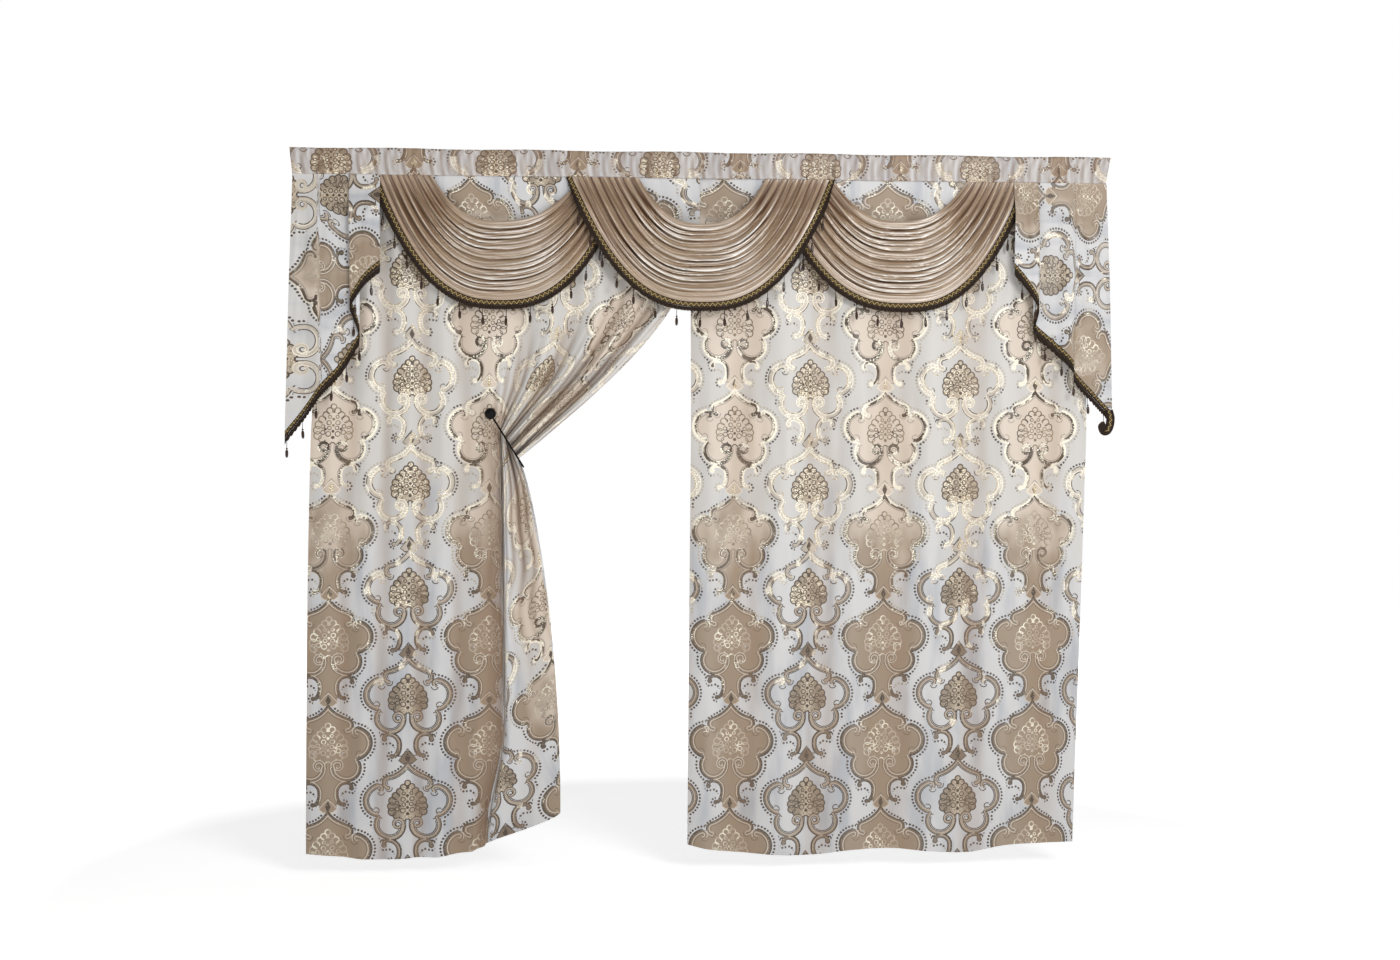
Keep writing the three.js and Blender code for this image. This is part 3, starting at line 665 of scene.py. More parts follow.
def ball_material():
    g = new_material("tie_ball")
    place = g.place()
    winding = g.noise(place, (60, 60, 420), 2)
    colour = g.mix(winding, linear(5, 5, 5), linear(20, 18, 18))
    g.relief(winding, 0.0006, 0.5)
    return g.finish(colour, winding * 0.2 + 0.4, 0.12)


def cord_material():
    """Twisted cord: cloth runs along it in x and round it in y, both in metres."""
    g = new_material("tie_cord")
    along, around, _ = g.split(g.attribute("cloth"))
    twist = g.math("SINE", along * 900 + around * 660)
    colour = g.mix(twist * 0.5 + 0.5, linear(2, 2, 2), linear(14, 12, 11))
    g.relief(twist, 0.0006, 0.8)
    return g.finish(colour, 0.8, 0.1)


def floor_material():
    """Pale floor that brightens away from the curtain."""
    g = new_material("floor")
    away = g.away(g.place(), (0, 0))
    fade = g.ramp(away, 2.2, 4.2)
    grain = g.noise(g.place(), 3, 2)
    colour = g.mix(grain, linear(238, 238, 238), linear(243, 243, 243))
    glow = g.most(fade, 0.55)
    return g.finish(colour, 0.85, 0.5, emission_color=(1, 1, 1, 1), emission_strength=glow)


damask = damask_material()
satin = satin_material()
braid_look = braid_material()
yarn = yarn_material()
bead_look = bead_material()
ball_look = ball_material()
cord_look = cord_material()

# ------------------------ heading

HEADING_HEIGHT = 91.0
HEADING_ENDS = (-1413.0, 1412.0)
HEADING_LOW_ENDS = (-1403.0, 1394.0)
HEADING_BACK = 3.0
HEADING_FILLED = 117.0  # across, where a filled column of the pattern stands
HEADING_CUT = 283.0  # from a filled motif's tip down to the band's top edge
SEAM_DROP = HEADING_HEIGHT + 0.5


def heading():
    u = np.linspace(0, 1, 480)[None, :]
    v = np.concatenate([[0, 0.01, 0.04], np.linspace(0.1, 0.9, 13), [0.95, 0.975, 0.99, 1]])[:, None]
    top = lerp(*HEADING_ENDS, u)
    across = lerp(top, lerp(*HEADING_LOW_ENDS, u), v)
    ripple = 1.5 * (1 - v) * (1 + np.sin(top / 75))
    pucker = 0.6 * wave(top, 92) + 0.4 * np.sin(top / 92 * 5.3)
    thick = lerp(4.0, 8.0, v) + 1.4 * pucker
    crinkle = wave(top + 14 * wave(v, 2.3), 31, 1) + 0.7 * wave(top - 9 * v, 19) + 0.5 * wave(top, 47, 2)
    thick = thick + (0.35 + 0.75 * bump(v, 0.9, 0.6)) * crinkle
    rounded = 1 - 0.75 * clamp(1 - (1 - v) / 0.05) ** 2 - 0.6 * clamp(1 - v / 0.04) ** 2
    thick = thick * rounded
    depth = HEADING_BACK - thick / 2 - (1 - rounded) * 1.5
    middle = points(across, depth, lerp(ripple, HEADING_HEIGHT, v))
    cloth = (across - HEADING_FILLED, HEADING_CUT + v * HEADING_HEIGHT)
    # The band is painted unlit, with painted glints below its top, and painted shade over it all, deeper
    # in its crinkles.
    glint_needed = lerp(0.7, 0.45, step(v, 0.2, 0.35))
    painted_shade = clamp(0.42 + 0.2 * crinkle)
    look = (damask, "damask", painted_shade, UNLIT, glint_needed)
    return sheet("heading_cloth", "heading", middle, thick, cloth, *look)


# ------------------------ panels

PANEL_THICK = 1.4
PANEL_TOP_DROP = 12.0
PANEL_TOP_DEPTH = 4.5
PANEL_PLANE = 24.0
TIE_ACROSS = (-722.0, -643.0)
TIE_DROP = (925.0, 1053.0)
FIRST_TIP = 104.0  # of the pattern's filled motifs, below the heading's top edge

LEFT_FOLDS = Table(
    "flat top hang tie tie_depth hem hem_depth hem_drop",
    [
        (0, -1404, 5, -1341, 5, -1361, 5, 2396),
        (62, -1345, -9, -1282, -9, -1302, -8, 2400),
        (128, -1283, 8, -1219, 8, -1239, 7, 2407),
        (196, -1219, -8, -1154, -8, -1173, -9, 2414),
        (262, -1156, 9, -1091, 9, -1110, 8, 2418),
        (330, -1092, -10, -1027, -10, -1044, -9, 2415),
        (396, -1030, 7, -964, 7, -980, 8, 2412),
        (462, -967, -8, -901, -8, -915, -8, 2411),
        (530, -903, 7, -836, 8, -848, 9, 2400),
        (600, -837, -6, -769, -4, -778, -4, 2392),
        (675, -770, -8, -714, -14, -708, 0, 2380),
        (775, -686, 8, -705, 4, -692, 10, 2368),
        (872, -604, -9, -694, -26, -670, -12, 2356),
        (962, -516, 7, -688, 18, -585, -4, 2318),
        (1052, -418, -8, -679, -30, -500, -6, 2262),
        (1130, -333, 7, -670, 20, -572, 10, 2240),
        (1205, -251, -7, -661, -28, -506, 28, 2228),
        (1285, -162, 6, -652, 20, -578, 46, 2218),
        (1360, -78, -6, -647, -30, -514, 62, 2208),
        (1410, -22, -2, -643, 4, -556, 78, 2204),
    ],
)
LEFT_FILLED = 78.0  # where on the cut width the first filled column stands
LEFT_TURN = (770, 830)  # where on the cut width the bundle's cloth starts, past the crease
RIGHT_FOLDS = Table(
    "flat top hang hem wave hem_drop",
    [
        (0, -98, -51, -64, 6, 2380),
        (75, -30, 20, 3, -9, 2395),
        (215, 120, 152, 131, 8, 2410),
        (345, 253, 275, 257, -10, 2419),
        (490, 400, 412, 394, 9, 2419),
        (610, 522, 526, 507, -8, 2404),
        (760, 675, 667, 648, 10, 2402),
        (890, 807, 790, 775, -9, 2412),
        (1040, 960, 932, 921, 8, 2418),
        (1170, 1092, 1055, 1040, -10, 2394),
        (1320, 1245, 1197, 1180, 9, 2390),
        (1465, 1392, 1334, 1283, 2, 2386),
    ],
)
RIGHT_FILLED = 160.0

# The heights, below the heading's top edge, between which the folds grow to their full
# depth and the cloth moves from its sewn places to its hanging ones.
FOLDS_GROW = (95, 395)
CLOTH_MOVES = (95, 545)


def panel_plane(drop):
    return lerp(PANEL_TOP_DEPTH, PANEL_PLANE, step(drop, 60, 400))


def left_point(flat, v):
    """v runs from 1 at the heading to 0 at the tie-back, and on to -1 at the hem."""
    read = LEFT_FOLDS.read
    tie, tie_depth = read("tie", flat), read("tie_depth", flat)
    along = clamp((tie - TIE_ACROSS[0]) / (TIE_ACROSS[1] - TIE_ACROSS[0]))
    level = lerp(*TIE_DROP, along)
    up = np.maximum(v, 0)
    drop = lerp(level, PANEL_TOP_DROP, up)
    lean = 65 * clamp((LEFT_FOLDS.keys[-1] - flat) / 510) * step(drop, *CLOTH_MOVES)
    free = read("top", flat) + lean
    reach = 0.78 * lerp(0.3, 1, along)
    spread = np.sin(np.pi / 2 * np.minimum(1, up / reach))
    gathered = np.sqrt(1 - spread**2)
    grown = step(drop, *FOLDS_GROW)
    fold = lerp(read("hang", flat), tie_depth, gathered**1.5) * grown
    above = points(lerp(tie, free, spread), panel_plane(drop) + fold, drop)
    down = np.maximum(-v, 0)
    fall = np.sin(np.pi / 2 * down**0.7)
    below = points(
        lerp(tie, read("hem", flat), fall),
        PANEL_PLANE + lerp(tie_depth, read("hem_depth", flat), fall),
        lerp(level, read("hem_drop", flat), down),
    )
    return np.where((v > 0)[..., None], above, below), gathered * grown, fall


def soft_creases(flat, drop):
    """Small uneven waves of hung cloth, in millimetres of depth."""
    drift = 22 * wave(drop, 1450, 0.6) + 9 * wave(drop, 610, 2.1)
    waves = 2.2 * wave(flat + drift, 131, 0.4) * (0.6 + 0.4 * wave(drop, 900, 1))
    waves = waves + 1.3 * wave(flat - 0.6 * drift, 57, 1.9) * (0.5 + 0.5 * wave(drop, 520, 2.6))
    waves = waves + 0.8 * wave(drop + 0.25 * flat, 173, 0.8) * wave(flat, 260, 1.1)
    return waves * step(drop, 60, 260)


def panel_light(drop):
    """The damask's painted light and painted glints on a panel: painted shade below the
    valance, bright in the middle of the window and dull again towards the floor."""
    valance_shade = step(drop, 360, 140)
    glint_needed = lerp(BRIGHT, DULL, clamp((drop - 1250) / 1000))
    return lerp(-MM * drop, UNLIT, 0.8 * valance_shade), lerp(glint_needed, 0.52, valance_shade)


def left_panel():
    flats = steps_between(LEFT_FOLDS.keys, 12)
    above = 1 - np.linspace(0, 1, 96) ** 0.8
    below = -(np.linspace(0, 1, 100)[1:] ** 1.25)
    flat, v = np.meshgrid(flats, np.concatenate([above, below]))
    middle, gathered, fall = left_point(flat, v)
    drop = -middle[..., 2]
    bundle = step(flat, 560, 720)
    turned = step(flat, *LEFT_TURN)
    pinched = np.where(v > 0, gathered, 1 - fall) * bundle
    middle[..., 1] += soft_creases(flat, drop) * (1 - pinched)
    fine = wave(flat + 14 * wave(drop, 700) + 9 * wave(drop, 310, 1), 47, 0.5)
    pleated = np.where(v > 0, pinched, bundle * step(drop, 1950, 1200))
    middle[..., 1] += pleated * 4 * fine
    # Past the crease the cloth has slipped along the tie and is drawn up.
    below_tie = step(drop, 1040, 1100)
    slip = below_tie * lerp(50, 160, step(drop, 2300, 1850)) * turned
    # The main crease below the tie-back leans out to the left at the hem, under the
    # bundle's cloth.
    lean = step(flat, 560, 670) * step(flat, 1050, 880)
    lean = -60 * lean * step(drop, 1950, 2370)
    middle[..., 0] += lean
    across = flat - LEFT_FILLED + slip + lean
    raised = 50 * turned * step(drop, 1300, 1800)
    down = lengths(middle) + PANEL_TOP_DROP - FIRST_TIP + raised
    # The crease is painted in shade from just above the tie-back down to the hem.
    shade = step(flat, 555, 685) * step(flat, 755, 695) * step(drop, 860, 980)
    # Painted shade in the pleats and the folds' hollows, with a painted highlight on their ridges.
    painted_shade = pleated * (np.where(v > 0, 0.2, 0.26) + 0.5 * (0.5 + 0.5 * fine) ** 3)
    painted_shade = clamp(lerp(0.75, 0.4, np.maximum(pleated, bundle)) * hollows(middle[..., 1], 27, 11) + painted_shade)
    painted_shade = np.maximum(painted_shade * (1 - shade), 0.85 * shade)
    painted_lift, glint_needed = panel_light(drop)
    # The bundle's last folds stand forward and are painted lit, and the bundle gets more painted glints.
    forward_lit = step(flat, 850, 970) * step(drop, 900, 1100)
    painted_lift = painted_lift + 0.6 * forward_lit * step(drop, 2300, 1950)
    glint_needed = glint_needed - 0.14 * bundle * step(drop, 700, 900) * step(drop, 2400, 2000)
    look = (damask, "damask", painted_shade, painted_lift, glint_needed)
    piece = sheet("panel_left_cloth", "panel_left", middle, PANEL_THICK, (across, down), *look)


def right_panel():
    flats = steps_between(RIGHT_FOLDS.keys, 16)
    flat, v = np.meshgrid(flats, np.linspace(0, 1, 130))
    read = RIGHT_FOLDS.read
    drop = lerp(PANEL_TOP_DROP, read("hem_drop", flat), v)
    across = lerp(read("top", flat), read("hang", flat), step(drop, *CLOTH_MOVES))
    across = across + (read("hem", flat) - read("hang", flat)) * clamp((drop - 960) / 1440)
    edge = step(flat, 215, 75)
    back = 8 * edge * step(drop, 770, 520)
    fold = read("wave", flat) * step(drop, *FOLDS_GROW)
    depth = panel_plane(drop) + fold + back + soft_creases(flat + 400, drop)
    middle = points(across, depth, drop)
    cloth = (flat - RIGHT_FILLED, lengths(middle) + PANEL_TOP_DROP - FIRST_TIP)
    # Painted shade in the folds' hollows and a painted highlight on their ridges.
    painted_shade = 0.5 * hollows(middle[..., 1], 35, 9)
    painted_lift, glint_needed = panel_light(drop)
    look = (damask, "damask", painted_shade, painted_lift, glint_needed)
    piece = sheet("panel_right_cloth", "panel_right", middle, PANEL_THICK, cloth, *look)


# ------------------------ swags

VALANCE_THICK = 1.2
SWAG_POWER = 2.55
SWAG_GROWN = 110.0  # below the seam, where the folds and the fringe's skirt are full size
# inner and outer edge: left end, lowest point and right end across, and sag
SWAGS = {
    "left": dict(inner=(-935, -715, -430, 154), outer=(-1119, -705, -286, 423), seat=1, belly=14, fold=8),
    "centre": dict(inner=(-232, -22, 203, 162), outer=(-460, -17, 424, 427), seat=-3.6, belly=40, fold=9),
    "right": dict(inner=(440, 665, 904, 141), outer=(227, 682, 1100, 423), seat=1, belly=14, fold=8),
}
SWAG_FOLDS = Table(
    "at rise",
    [
        (0, 0.2), (0.06, 1), (0.12, -0.8), (0.19, 0.9), (0.25, -1), (0.32, 1),
        (0.38, -0.8), (0.44, 0.9), (0.51, -1), (0.57, 1), (0.64, -0.9), (0.7, 1),
        (0.77, -1), (0.83, 1), (0.9, -0.7), (0.95, 0), (1, 0),
    ],
)


def swag_point(swag, p, q, beyond=0.0, fine=0.0, lean=0.0):
    left = p < 0
    inner_end = np.where(left, swag["inner"][0], swag["inner"][2])
    outer_end = np.where(left, swag["outer"][0], swag["outer"][2])
    low = lerp(swag["inner"][1], swag["outer"][1], q)
    half = lerp(np.abs(inner_end - swag["inner"][1]), np.abs(outer_end - swag["outer"][1]), q)
    sag = lerp(swag["inner"][3], swag["outer"][3], q) + beyond
    below = sag * (1 - np.abs(p) ** SWAG_POWER)
    rise = SWAG_FOLDS.read("rise", q) * lerp(0.2, 1, smooth(below / SWAG_GROWN))
    depth = swag["seat"] - swag["belly"] * smooth(below / 120) - swag["fold"] * rise + fine
    slump = lean * (rise - fine / swag["fold"]) * smooth(below / 90)
    return points(low + p * (half + beyond), depth, SEAM_DROP + below + slump)


def swag_steps(count):
    return np.sin(np.linspace(-1, 1, count) * np.pi / 2)


def swag(name, shape, seed):
    p, q = np.meshgrid(swag_steps(150), np.linspace(0, 1, 150))
    random = np.random.default_rng(seed)
    shift = random.uniform(0, 2 * np.pi, 6)
    arms = np.abs(p)
    # Each fold wanders a little, and the wide ones fork towards the middle.
    wander = 0.012 * np.sin(3.1 * p + 9 * q + shift[0]) + 0.008 * np.sin(5.3 * p - 17 * q + shift[1])
    moved = clamp(q + wander * bump(q, 0.5, 0.5))
    fork = step(arms, 0.93, 0.43) * clamp(6 * bump(q, 0.49, 0.53))
    small = wave(moved, 0.0645, 0.6 + 0.8 * np.sin(2.2 * p + shift[2]))
    tiny = wave(moved + 0.01 * np.sin(7 * p + shift[3]), 0.029, shift[4])
    strong = 0.8 + 0.3 * np.sin(11 * moved + 4 * p + shift[5])
    fine = -shape["fold"] * fork * strong * (0.72 * small + 0.32 * tiny)
    middle = swag_point(shape, p, moved, fine=fine, lean=4.5 * bump(q, 0.5, 0.5) ** 0.3)
    # The arms' folds are broad and uneven, and their satin, which turns away from the light,
    # is painted in shade. Painted shade also lies in the folds' hollows, with a painted
    # highlight right of the middle.
    uneven = moved + 0.02 * np.sin(13 * moved + shift[5]) + 0.012 * np.sin(6 * p + shift[0])
    broad = wave(uneven, 0.118, shift[2]) + 0.5 * wave(uneven, 0.047, shift[3])
    arm_shade = step(arms, 0.42, 0.82)
    painted_shade = 1.3 * strong * hollows(middle[..., 1].T, 9, 4).T
    painted_shade = painted_shade - 0.22 * bump(p, 0.4, 0.45) + arm_shade * (0.72 + 0.55 * broad)
    cloth = (lengths(middle, 1), lengths(middle))
    look = (satin, "satin", painted_shade)
    return sheet(f"swag_{name}_cloth", f"swag_{name}", middle, VALANCE_THICK, cloth, *look)


# ------------------------ tails

TAIL_GAP = 4.4
TAIL_COLUMNS = "flat top top_depth hem hem_depth hem_drop"
TAILS = {
    "left": Table(
        TAIL_COLUMNS,
        [
            (0, -1109, -3.8, -1106, -38, 383),
            (60, -1162, -3.8, -1158, -36, 427),
            (108, -1210, -3.8, -1202, -34, 492),
            (114, -1214, -2.6, -1208, -30, 505),
            (120, -1210, -1.4, -1204, -26, 518),
            (150, -1180, -1.2, -1182, -20, 580),
            (156, -1175, 0.1, -1177, -16, 605),
            (162, -1180, 1.3, -1180, -12, 628),
            (240, -1248, 1, -1246, -14, 735),
            (315, -1318, -1, -1306, -24, 802),
            (380, -1368, 0, -1362, -12, 880),
            (450, -1403, 0, -1426, -18, 962),
        ],
    ),
    "right": Table(
        TAIL_COLUMNS,
        [
            (0, 1072, -3.8, 1064, -38, 374),
            (50, 1112, -3.8, 1106, -36, 422),
            (96, 1152, -3.8, 1146, -34, 480),
            (102, 1156, -2.6, 1152, -30, 498),
            (108, 1152, -1.4, 1149, -26, 515),
            (126, 1138, -1.2, 1142, -20, 545),
            (132, 1133, 0.1, 1136, -16, 562),
            (138, 1138, 1.3, 1140, -12, 580),
            (230, 1222, 1, 1218, -16, 650),
            (300, 1282, -1, 1272, -28, 708),
            (318, 1294, 0, 1280, -20, 745),
            (400, 1352, 0.5, 1350, -14, 820),
            (470, 1398, 0, 1412, -20, 889),
        ],
    ),
}


def tail_point(table, flat, v, below=0.0):
    drop = lerp(SEAM_DROP, table.read("hem_drop", flat), v) + below
    depth = lerp(table.read("top_depth", flat), table.read("hem_depth", flat), smooth(v / 0.45))
    return points(lerp(table.read("top", flat), table.read("hem", flat), v), depth, drop)


def tail(name):
    table = TAILS[name]
    flats = steps_between(table.keys, 9)
    flat, v = np.meshgrid(flats, np.linspace(0, 1, 70))
    middle = tail_point(table, flat, v)
    drop = -middle[..., 2]
    loose = smooth(v * 3) * (1 - 0.6 * v)
    middle[..., 1] += 1.6 * loose * wave(flat + 10 * wave(drop, 500), 74, 1.2)
    middle[..., 1] += 0.8 * loose * wave(flat - drop * 0.1, 33)
    # The pattern lies on its side here. Its place jumps where a pleat hides cloth.
    if name == "left":
        up = 441 - drop
        outer, inner = step(flat, 308, 322), step(flat, 130, 110)
        askew = 75 * step(up, 100, 270)
        hidden = 106 * outer - askew * (1 - outer) - (137 - askew) * inner
        cloth = (up, table.read("top", flat) + 1509 - hidden)
        # Painted light: how lit the damask is painted, brighter on the outer pleat, and how seldom its
        # thread is painted glinting.
        painted_lift, glint_needed = lerp(-1.5, -1.25, outer), 0.64
    else:
        cloth = (drop - 137, 539 - flat - 47 * step(flat, 290, 320))
        # Painted light, as on the left.
        painted_lift, glint_needed = -1.44, 0.6
    # Painted shade in the folds' hollows and a painted highlight on their ridges.
    painted_shade = 0.5 * hollows(middle[..., 1].T, 21, 9).T
    look = (damask, "damask", painted_shade, painted_lift, glint_needed)
    return sheet(f"jabot_{name}_cloth", f"jabot_{name}", middle, VALANCE_THICK, cloth, *look)


# ------------------------ braid and bead fringe

BRAID_THICK = 3.0
BRAID_GAP = 0.3  # between a swag's edge and its braid
TAIL_BRAID_END = 24.0  # past the tail's edge
TAIL_SKIRT = 18.0
SKIRT_WIDTH, SKIRT_NARROW, SKIRT_THICK = 16.0, 4.0, 1.6
SKIRT_SHARE = 0.6  # how far down the skirt the bead threads are sewn
SEWN_GAP = 0.4
BEAD_PITCH = 82.0
BEAD_CLEAR_OF_SEAM = 70.0
# radius and height of the thread, the round bead and the long bead
THREAD = [(0.0, 3), (1.0, 3), (1.0, -26), (0.0, -26)]
ROUND_BEAD = [(0.0, -25.5), (2.6, -26.6), (3.6, -29), (2.6, -31.4), (0.0, -32.5)]
LONG_BEAD = [(0.0, -32.3), (2.8, -33), (5.0, -38), (5.2, -46), (4.8, -54), (2.6, -59.2), (0.0, -60)]


def rounded_edges(v):
    """The share of its thickness that a strip has, for v from -1 to 1 across it."""
    return np.sqrt(np.maximum(1 - v**4, 0.06))


def strip(name, node, edge_at, us, start, stop, thick, rows, material, slot, scallop=0.0):
    """A trimming sewn along a free edge, from start to stop millimetres past it."""
    u, v = np.meshgrid(us, np.linspace(0, 1, rows))
    beyond = lerp(start, stop(u), v)
    middle = edge_at(u, beyond)
    along = np.broadcast_to(lengths(middle[0]), u.shape)
    if scallop:
        loops = np.abs(np.sin(np.pi * along / YARN_LOOP))
        middle = edge_at(u, beyond - scallop * v**4 * (1 - loops))
    thick = thick * rounded_edges(2 * v - 1)
    return sheet(name, node, middle, thick, (along, beyond - start), material, slot)


def lathe(profile, sides):
    """Corners and faces of a turned shape whose profile starts and ends on its middle line."""
    turn = turns(sides)
    radius, height = np.array(profile[1:-1]).T[..., None]
    rings = stacked(radius * np.cos(turn), radius * np.sin(turn), height)
    ends = [[(0, 0, profile[end][1])] for end in (0, -1)]
    corners = np.concatenate([ends[0], rings.reshape(-1, 3), ends[1]])
    grid = round_grid(1, len(rings), sides)
    caps = [(0, a, b) for a, b in zip(grid[0], grid[0, 1:])]
    caps += [(len(corners) - 1, b, a) for a, b in zip(grid[-1], grid[-1, 1:])]
    return corners, quads_of(grid).tolist() + np.array(caps).tolist()


def beads(name, places, seed):
    """The threads with their beads. Each hangs a little out of true."""
    for label, profiles, sides, look in (
        ("threads", [THREAD], 6, yarn),
        ("beads", [ROUND_BEAD, LONG_BEAD], 8, bead_look),
    ):
        corners, faces = np.zeros((0, 3)), []
        for index, place in enumerate(places):
            lean = 0.05 * np.sin(1.7 * index + seed)
            turn = 2.4 * index
            for profile in profiles:
                shape, shape_faces = lathe(profile, sides)
                x, y, z = shape.T
                x, y = x * np.cos(turn) - y * np.sin(turn), x * np.sin(turn) + y * np.cos(turn)
                faces += [[len(corners) + i for i in face] for face in shape_faces]
                corners = np.concatenate([corners, stacked(x - lean * z, y, z) + place])
        piece_name = f"{name}_{label}"
        mesh = mesh_of(piece_name, corners, faces)
        yield add_piece(piece_name, None, mesh, look, "fringe", smooth_faces=label == "threads")


def bead_places(edge_at, steps, start, stop):
    """The CAD solid's own places: at an even pitch along its straight spans."""
    keys = np.asarray(steps, float)
    line = edge_at(keys, lerp(start, stop(keys), SKIRT_SHARE))
    places = []
    until_next = BEAD_PITCH / 2
    for a, b, key, next_key in zip(line, line[1:], keys, keys[1:]):
        span = np.linalg.norm(b - a)
        at = until_next
        while at <= span:
            if -lerp(a, b, at / span)[2] > SEAM_DROP + BEAD_CLEAR_OF_SEAM:
                u = np.array(lerp(key, next_key, at / span))
                places.append(edge_at(u, lerp(start, stop(u), SKIRT_SHARE)))
            at += BEAD_PITCH
        until_next = at - span
    return places


def trimmings(name, edge_at, cad_steps, us, braid_from, braid_to, braid_thick, skirt_to, seed):
    close = min(braid_from, SEWN_GAP)
    braid, fringe = f"braid_{name}", f"fringe_{name}"
    places = bead_places(edge_at, cad_steps, braid_to + braid_from, skirt_to)
    return [
        strip(
            f"{braid}_trim", braid, edge_at, us, close, lambda u: braid_to,
            braid_thick, 7, braid_look, "braid",
        ),
        strip(
            f"{fringe}_skirt", fringe, edge_at, us, braid_to + close, skirt_to,
            SKIRT_THICK, 5, yarn, "fringe", scallop=6.0,
        ),
        *beads(fringe, places, seed),
    ]


def swag_with_trimmings(name, seed):
    shape = SWAGS[name]
    cloth = swag(name, shape, seed)

    def edge_at(p, beyond):
        return swag_point(shape, p, 1.0, beyond)

    def skirt_to(p):
        below = -edge_at(p, 0)[..., 2] - SEAM_DROP
        return BRAID_WIDTH + BRAID_GAP + lerp(SKIRT_NARROW, SKIRT_WIDTH, smooth(below / SWAG_GROWN))

    trims = trimmings(
        f"swag_{name}", edge_at, swag_steps(13), swag_steps(1100),
        BRAID_GAP, BRAID_WIDTH, BRAID_THICK, skirt_to, seed,
    )
    return cloth, trims


def tail_with_trimmings(name, seed):
    table = TAILS[name]
    cloth = tail(name)

    def edge_at(flat, below):
        return tail_point(table, flat, 1.0, below)

    skirt_to = TAIL_BRAID_END + TAIL_GAP + TAIL_SKIRT
    trims = trimmings(
        f"jabot_{name}", edge_at, table.keys, steps_between(table.keys, 40),
        TAIL_GAP, TAIL_BRAID_END, VALANCE_THICK, lambda flat: skirt_to, seed,
    )
    return cloth, trims


BRAID_END_THICK = 1.8
BRAID_END_DEPTH = -20.0
BRAID_END = Table(
    "at across drop",
    [
        (0, 1400, 882), (1, 1404, 908), (2, 1401, 934), (3, 1392, 952),
        (4, 1380, 954), (5, 1374, 940), (6, 1377, 922),
    ],
)


def braid_end():
    """The loose end of the braid and its fringe, curled up below the right tail's tip."""
    at, v = np.meshgrid(np.linspace(0, 6, 90), np.linspace(-1, 1, 9))
    across, drop = BRAID_END.read("across", at), BRAID_END.read("drop", at)
    run, fall = np.gradient(across, axis=1), np.gradient(drop, axis=1)
    moved = np.hypot(run, fall)
    cloth = (np.cumsum(moved, axis=1), (v + 1) * BRAID_WIDTH / 2)
    for label, half, stop, ahead, look, slot, node in (
        ("end", 7.5, 4.2, 2.4, braid_look, "braid", "braid_jabot_right"),
        ("tuft", 15.0, 6.6, 0, yarn, "fringe", "fringe_jabot_right"),
    ):
        wide = half * v * smooth((stop - at) / 1.6)
        depth = BRAID_END_DEPTH - 7 * smooth(at / 1.2) - 0.8 * at - ahead
        middle = points(across - fall / moved * wide, depth, drop + run / moved * wide)
        thick = BRAID_END_THICK * rounded_edges(v)
        yield sheet(f"braid_{label}", node, middle, thick, cloth, look, slot)


# ------------------------ tie-back

BALL_RADIUS = 19.5
BALL_PLACE = (-737.0, -901.0)  # across and up
BALL_DEPTHS = {"tie_ball_front": -19.0, "tie_ball_back": 26.5}
CORD_RADIUS = 3.0
CORD_ROUTE = Table(
    "step along depth",
    [
        (0, 20.3, -19.3), (1, 36, -19.6), (2, 60, -20), (3, 95, -20.5), (4, 130, -20.5),
        (5, 165, -20), (6, 188, -17), (7, 204, -4), (8, 211, 22), (9, 204, 48), (10, 188, 61),
        (11, 165, 65), (12, 130, 66.5), (13, 95, 66.5), (14, 62, 66), (15, 44, 58),
        (16, 31, 44), (17, 19.4, 33),
    ],
)


def ball(node, depth):
    angles = np.linspace(0, np.pi, 25)
    profile = [(BALL_RADIUS * np.sin(a), BALL_RADIUS * np.cos(a)) for a in angles]
    corners, faces = lathe(profile, 40)
    corners += (BALL_PLACE[0], depth, BALL_PLACE[1])
    add_piece(f"{node}_round", node, mesh_of(node, corners, faces), ball_look, "tie_ball")


def tie_cord():
    run = np.array([TIE_ACROSS[1] - BALL_PLACE[0], -TIE_DROP[1] - BALL_PLACE[1]])
    run = run / np.linalg.norm(run)
    at = np.linspace(0, 17, 240)
    along, depth = CORD_ROUTE.read("along", at), CORD_ROUTE.read("depth", at)
    line = stacked(BALL_PLACE[0] + run[0] * along, depth, BALL_PLACE[1] + run[1] * along)
    heading_on = np.gradient(line, axis=0)
    heading_on /= np.linalg.norm(heading_on, axis=1, keepdims=True)
    out = np.array([run[1], 0.0, -run[0]])  # square to the plane that the cord lies in
    side = np.cross(heading_on, out)
    turn = turns(14)[:, None]
    rings = line[:, None] + CORD_RADIUS * (np.cos(turn) * out + np.sin(turn) * side[:, None])
    grid = round_grid(0, *rings.shape[:2])
    faces = quads_of(grid.T).tolist() + [grid[0, -2::-1].tolist(), grid[-1, :-1].tolist()]
    mesh = mesh_of("tie_cord_twist", rings.reshape(-1, 3), faces)
    gone = lengths(line)
    store(mesh, "cloth", stacked(gone[:, None], turn[:, 0] * CORD_RADIUS, 0.0) * MM)
    piece = add_piece("tie_cord_twist", "tie_cord", mesh, cord_look, "tie_cord")


# ------------------------ the curtain

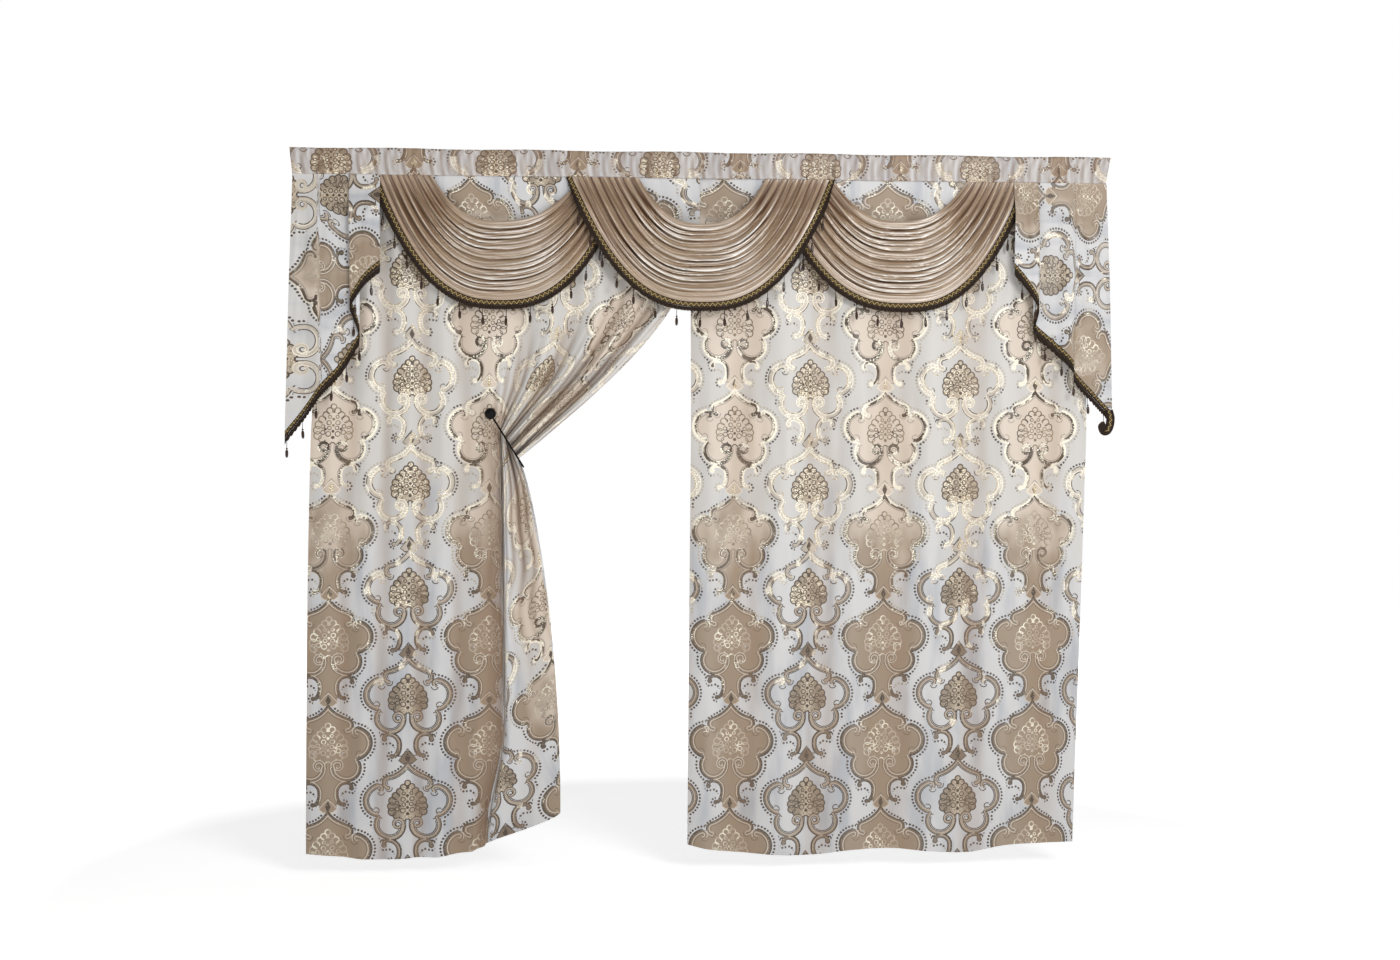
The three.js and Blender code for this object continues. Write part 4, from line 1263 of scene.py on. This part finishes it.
heading_piece = heading()
left_panel()
right_panel()
for index, name in enumerate(SWAGS):
    cloth, trims = swag_with_trimmings(name, 11 + index)
    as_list(trims)
for name, seed, flat, area in (("left", 21, (0.45, 0.87), 0.27), ("right", 22, (0.47, 0.8), 0.26)):
    cloth, trims = tail_with_trimmings(name, seed)
    if name == "right":
        trims.extend(braid_end())
    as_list(trims)
for node, depth in BALL_DEPTHS.items():
    ball(node, depth)
tie_cord()

# ------------------------ floor, lights and world


def floor():
    half, height = 14000.0, cad_low[2] / MM - 50
    corners = [(x * half, y * half, height) for x, y in ((-1, -1), (1, -1), (1, 1), (-1, 1))]
    mesh = mesh_of("floor", np.array(corners), [(0, 1, 2, 3)])
    mesh.materials.append(floor_material())
    add_object("floor", mesh)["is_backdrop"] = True


def area_light(name, place, towards, size, power):
    data = bpy.data.lights.new(name, "AREA")
    data.shape = "RECTANGLE"
    data.size, data.size_y = size
    data.energy = power
    lamp = add_object(name, data)
    lamp.location = place
    aim = np.array(towards) - np.array(place)
    lamp.rotation_euler = (
        math.atan2(math.hypot(aim[0], aim[1]), -aim[2]),
        0,
        math.atan2(aim[1], aim[0]) - math.pi / 2,
    )


def white_world(strength):
    """Lights the scene with strength, and is plain white to the camera."""
    g = Graph(bpy.data.worlds.new("studio"), "Background", "OutputWorld")
    seen = g.wire("Is Camera Ray", "LightPath")
    level = g.wire("Result", "MapRange", seen, 0.0, 1.0, strength, 1.0)
    g.plug((1, 1, 1, 1), g.shader.inputs["Color"])
    g.plug(level, g.shader.inputs["Strength"])
    bpy.context.scene.world = g.owner


floor()
area_light("key", (2.0, -5.4, 0.7), (-0.2, 0, -1.3), (1.8, 1.8), 142)
area_light("high", (0.6, -3.8, 2.4), (0, 0, -0.6), (4.0, 1.0), 22)
white_world(0.36)

bpy.context.scene.view_settings.view_transform = "Standard"

size_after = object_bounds()
sizes = {"loaded": (cad_low, cad_high), "finished": size_after}
{key: [[float(x) for x in corner] for corner in pair] for key, pair in sizes.items()}
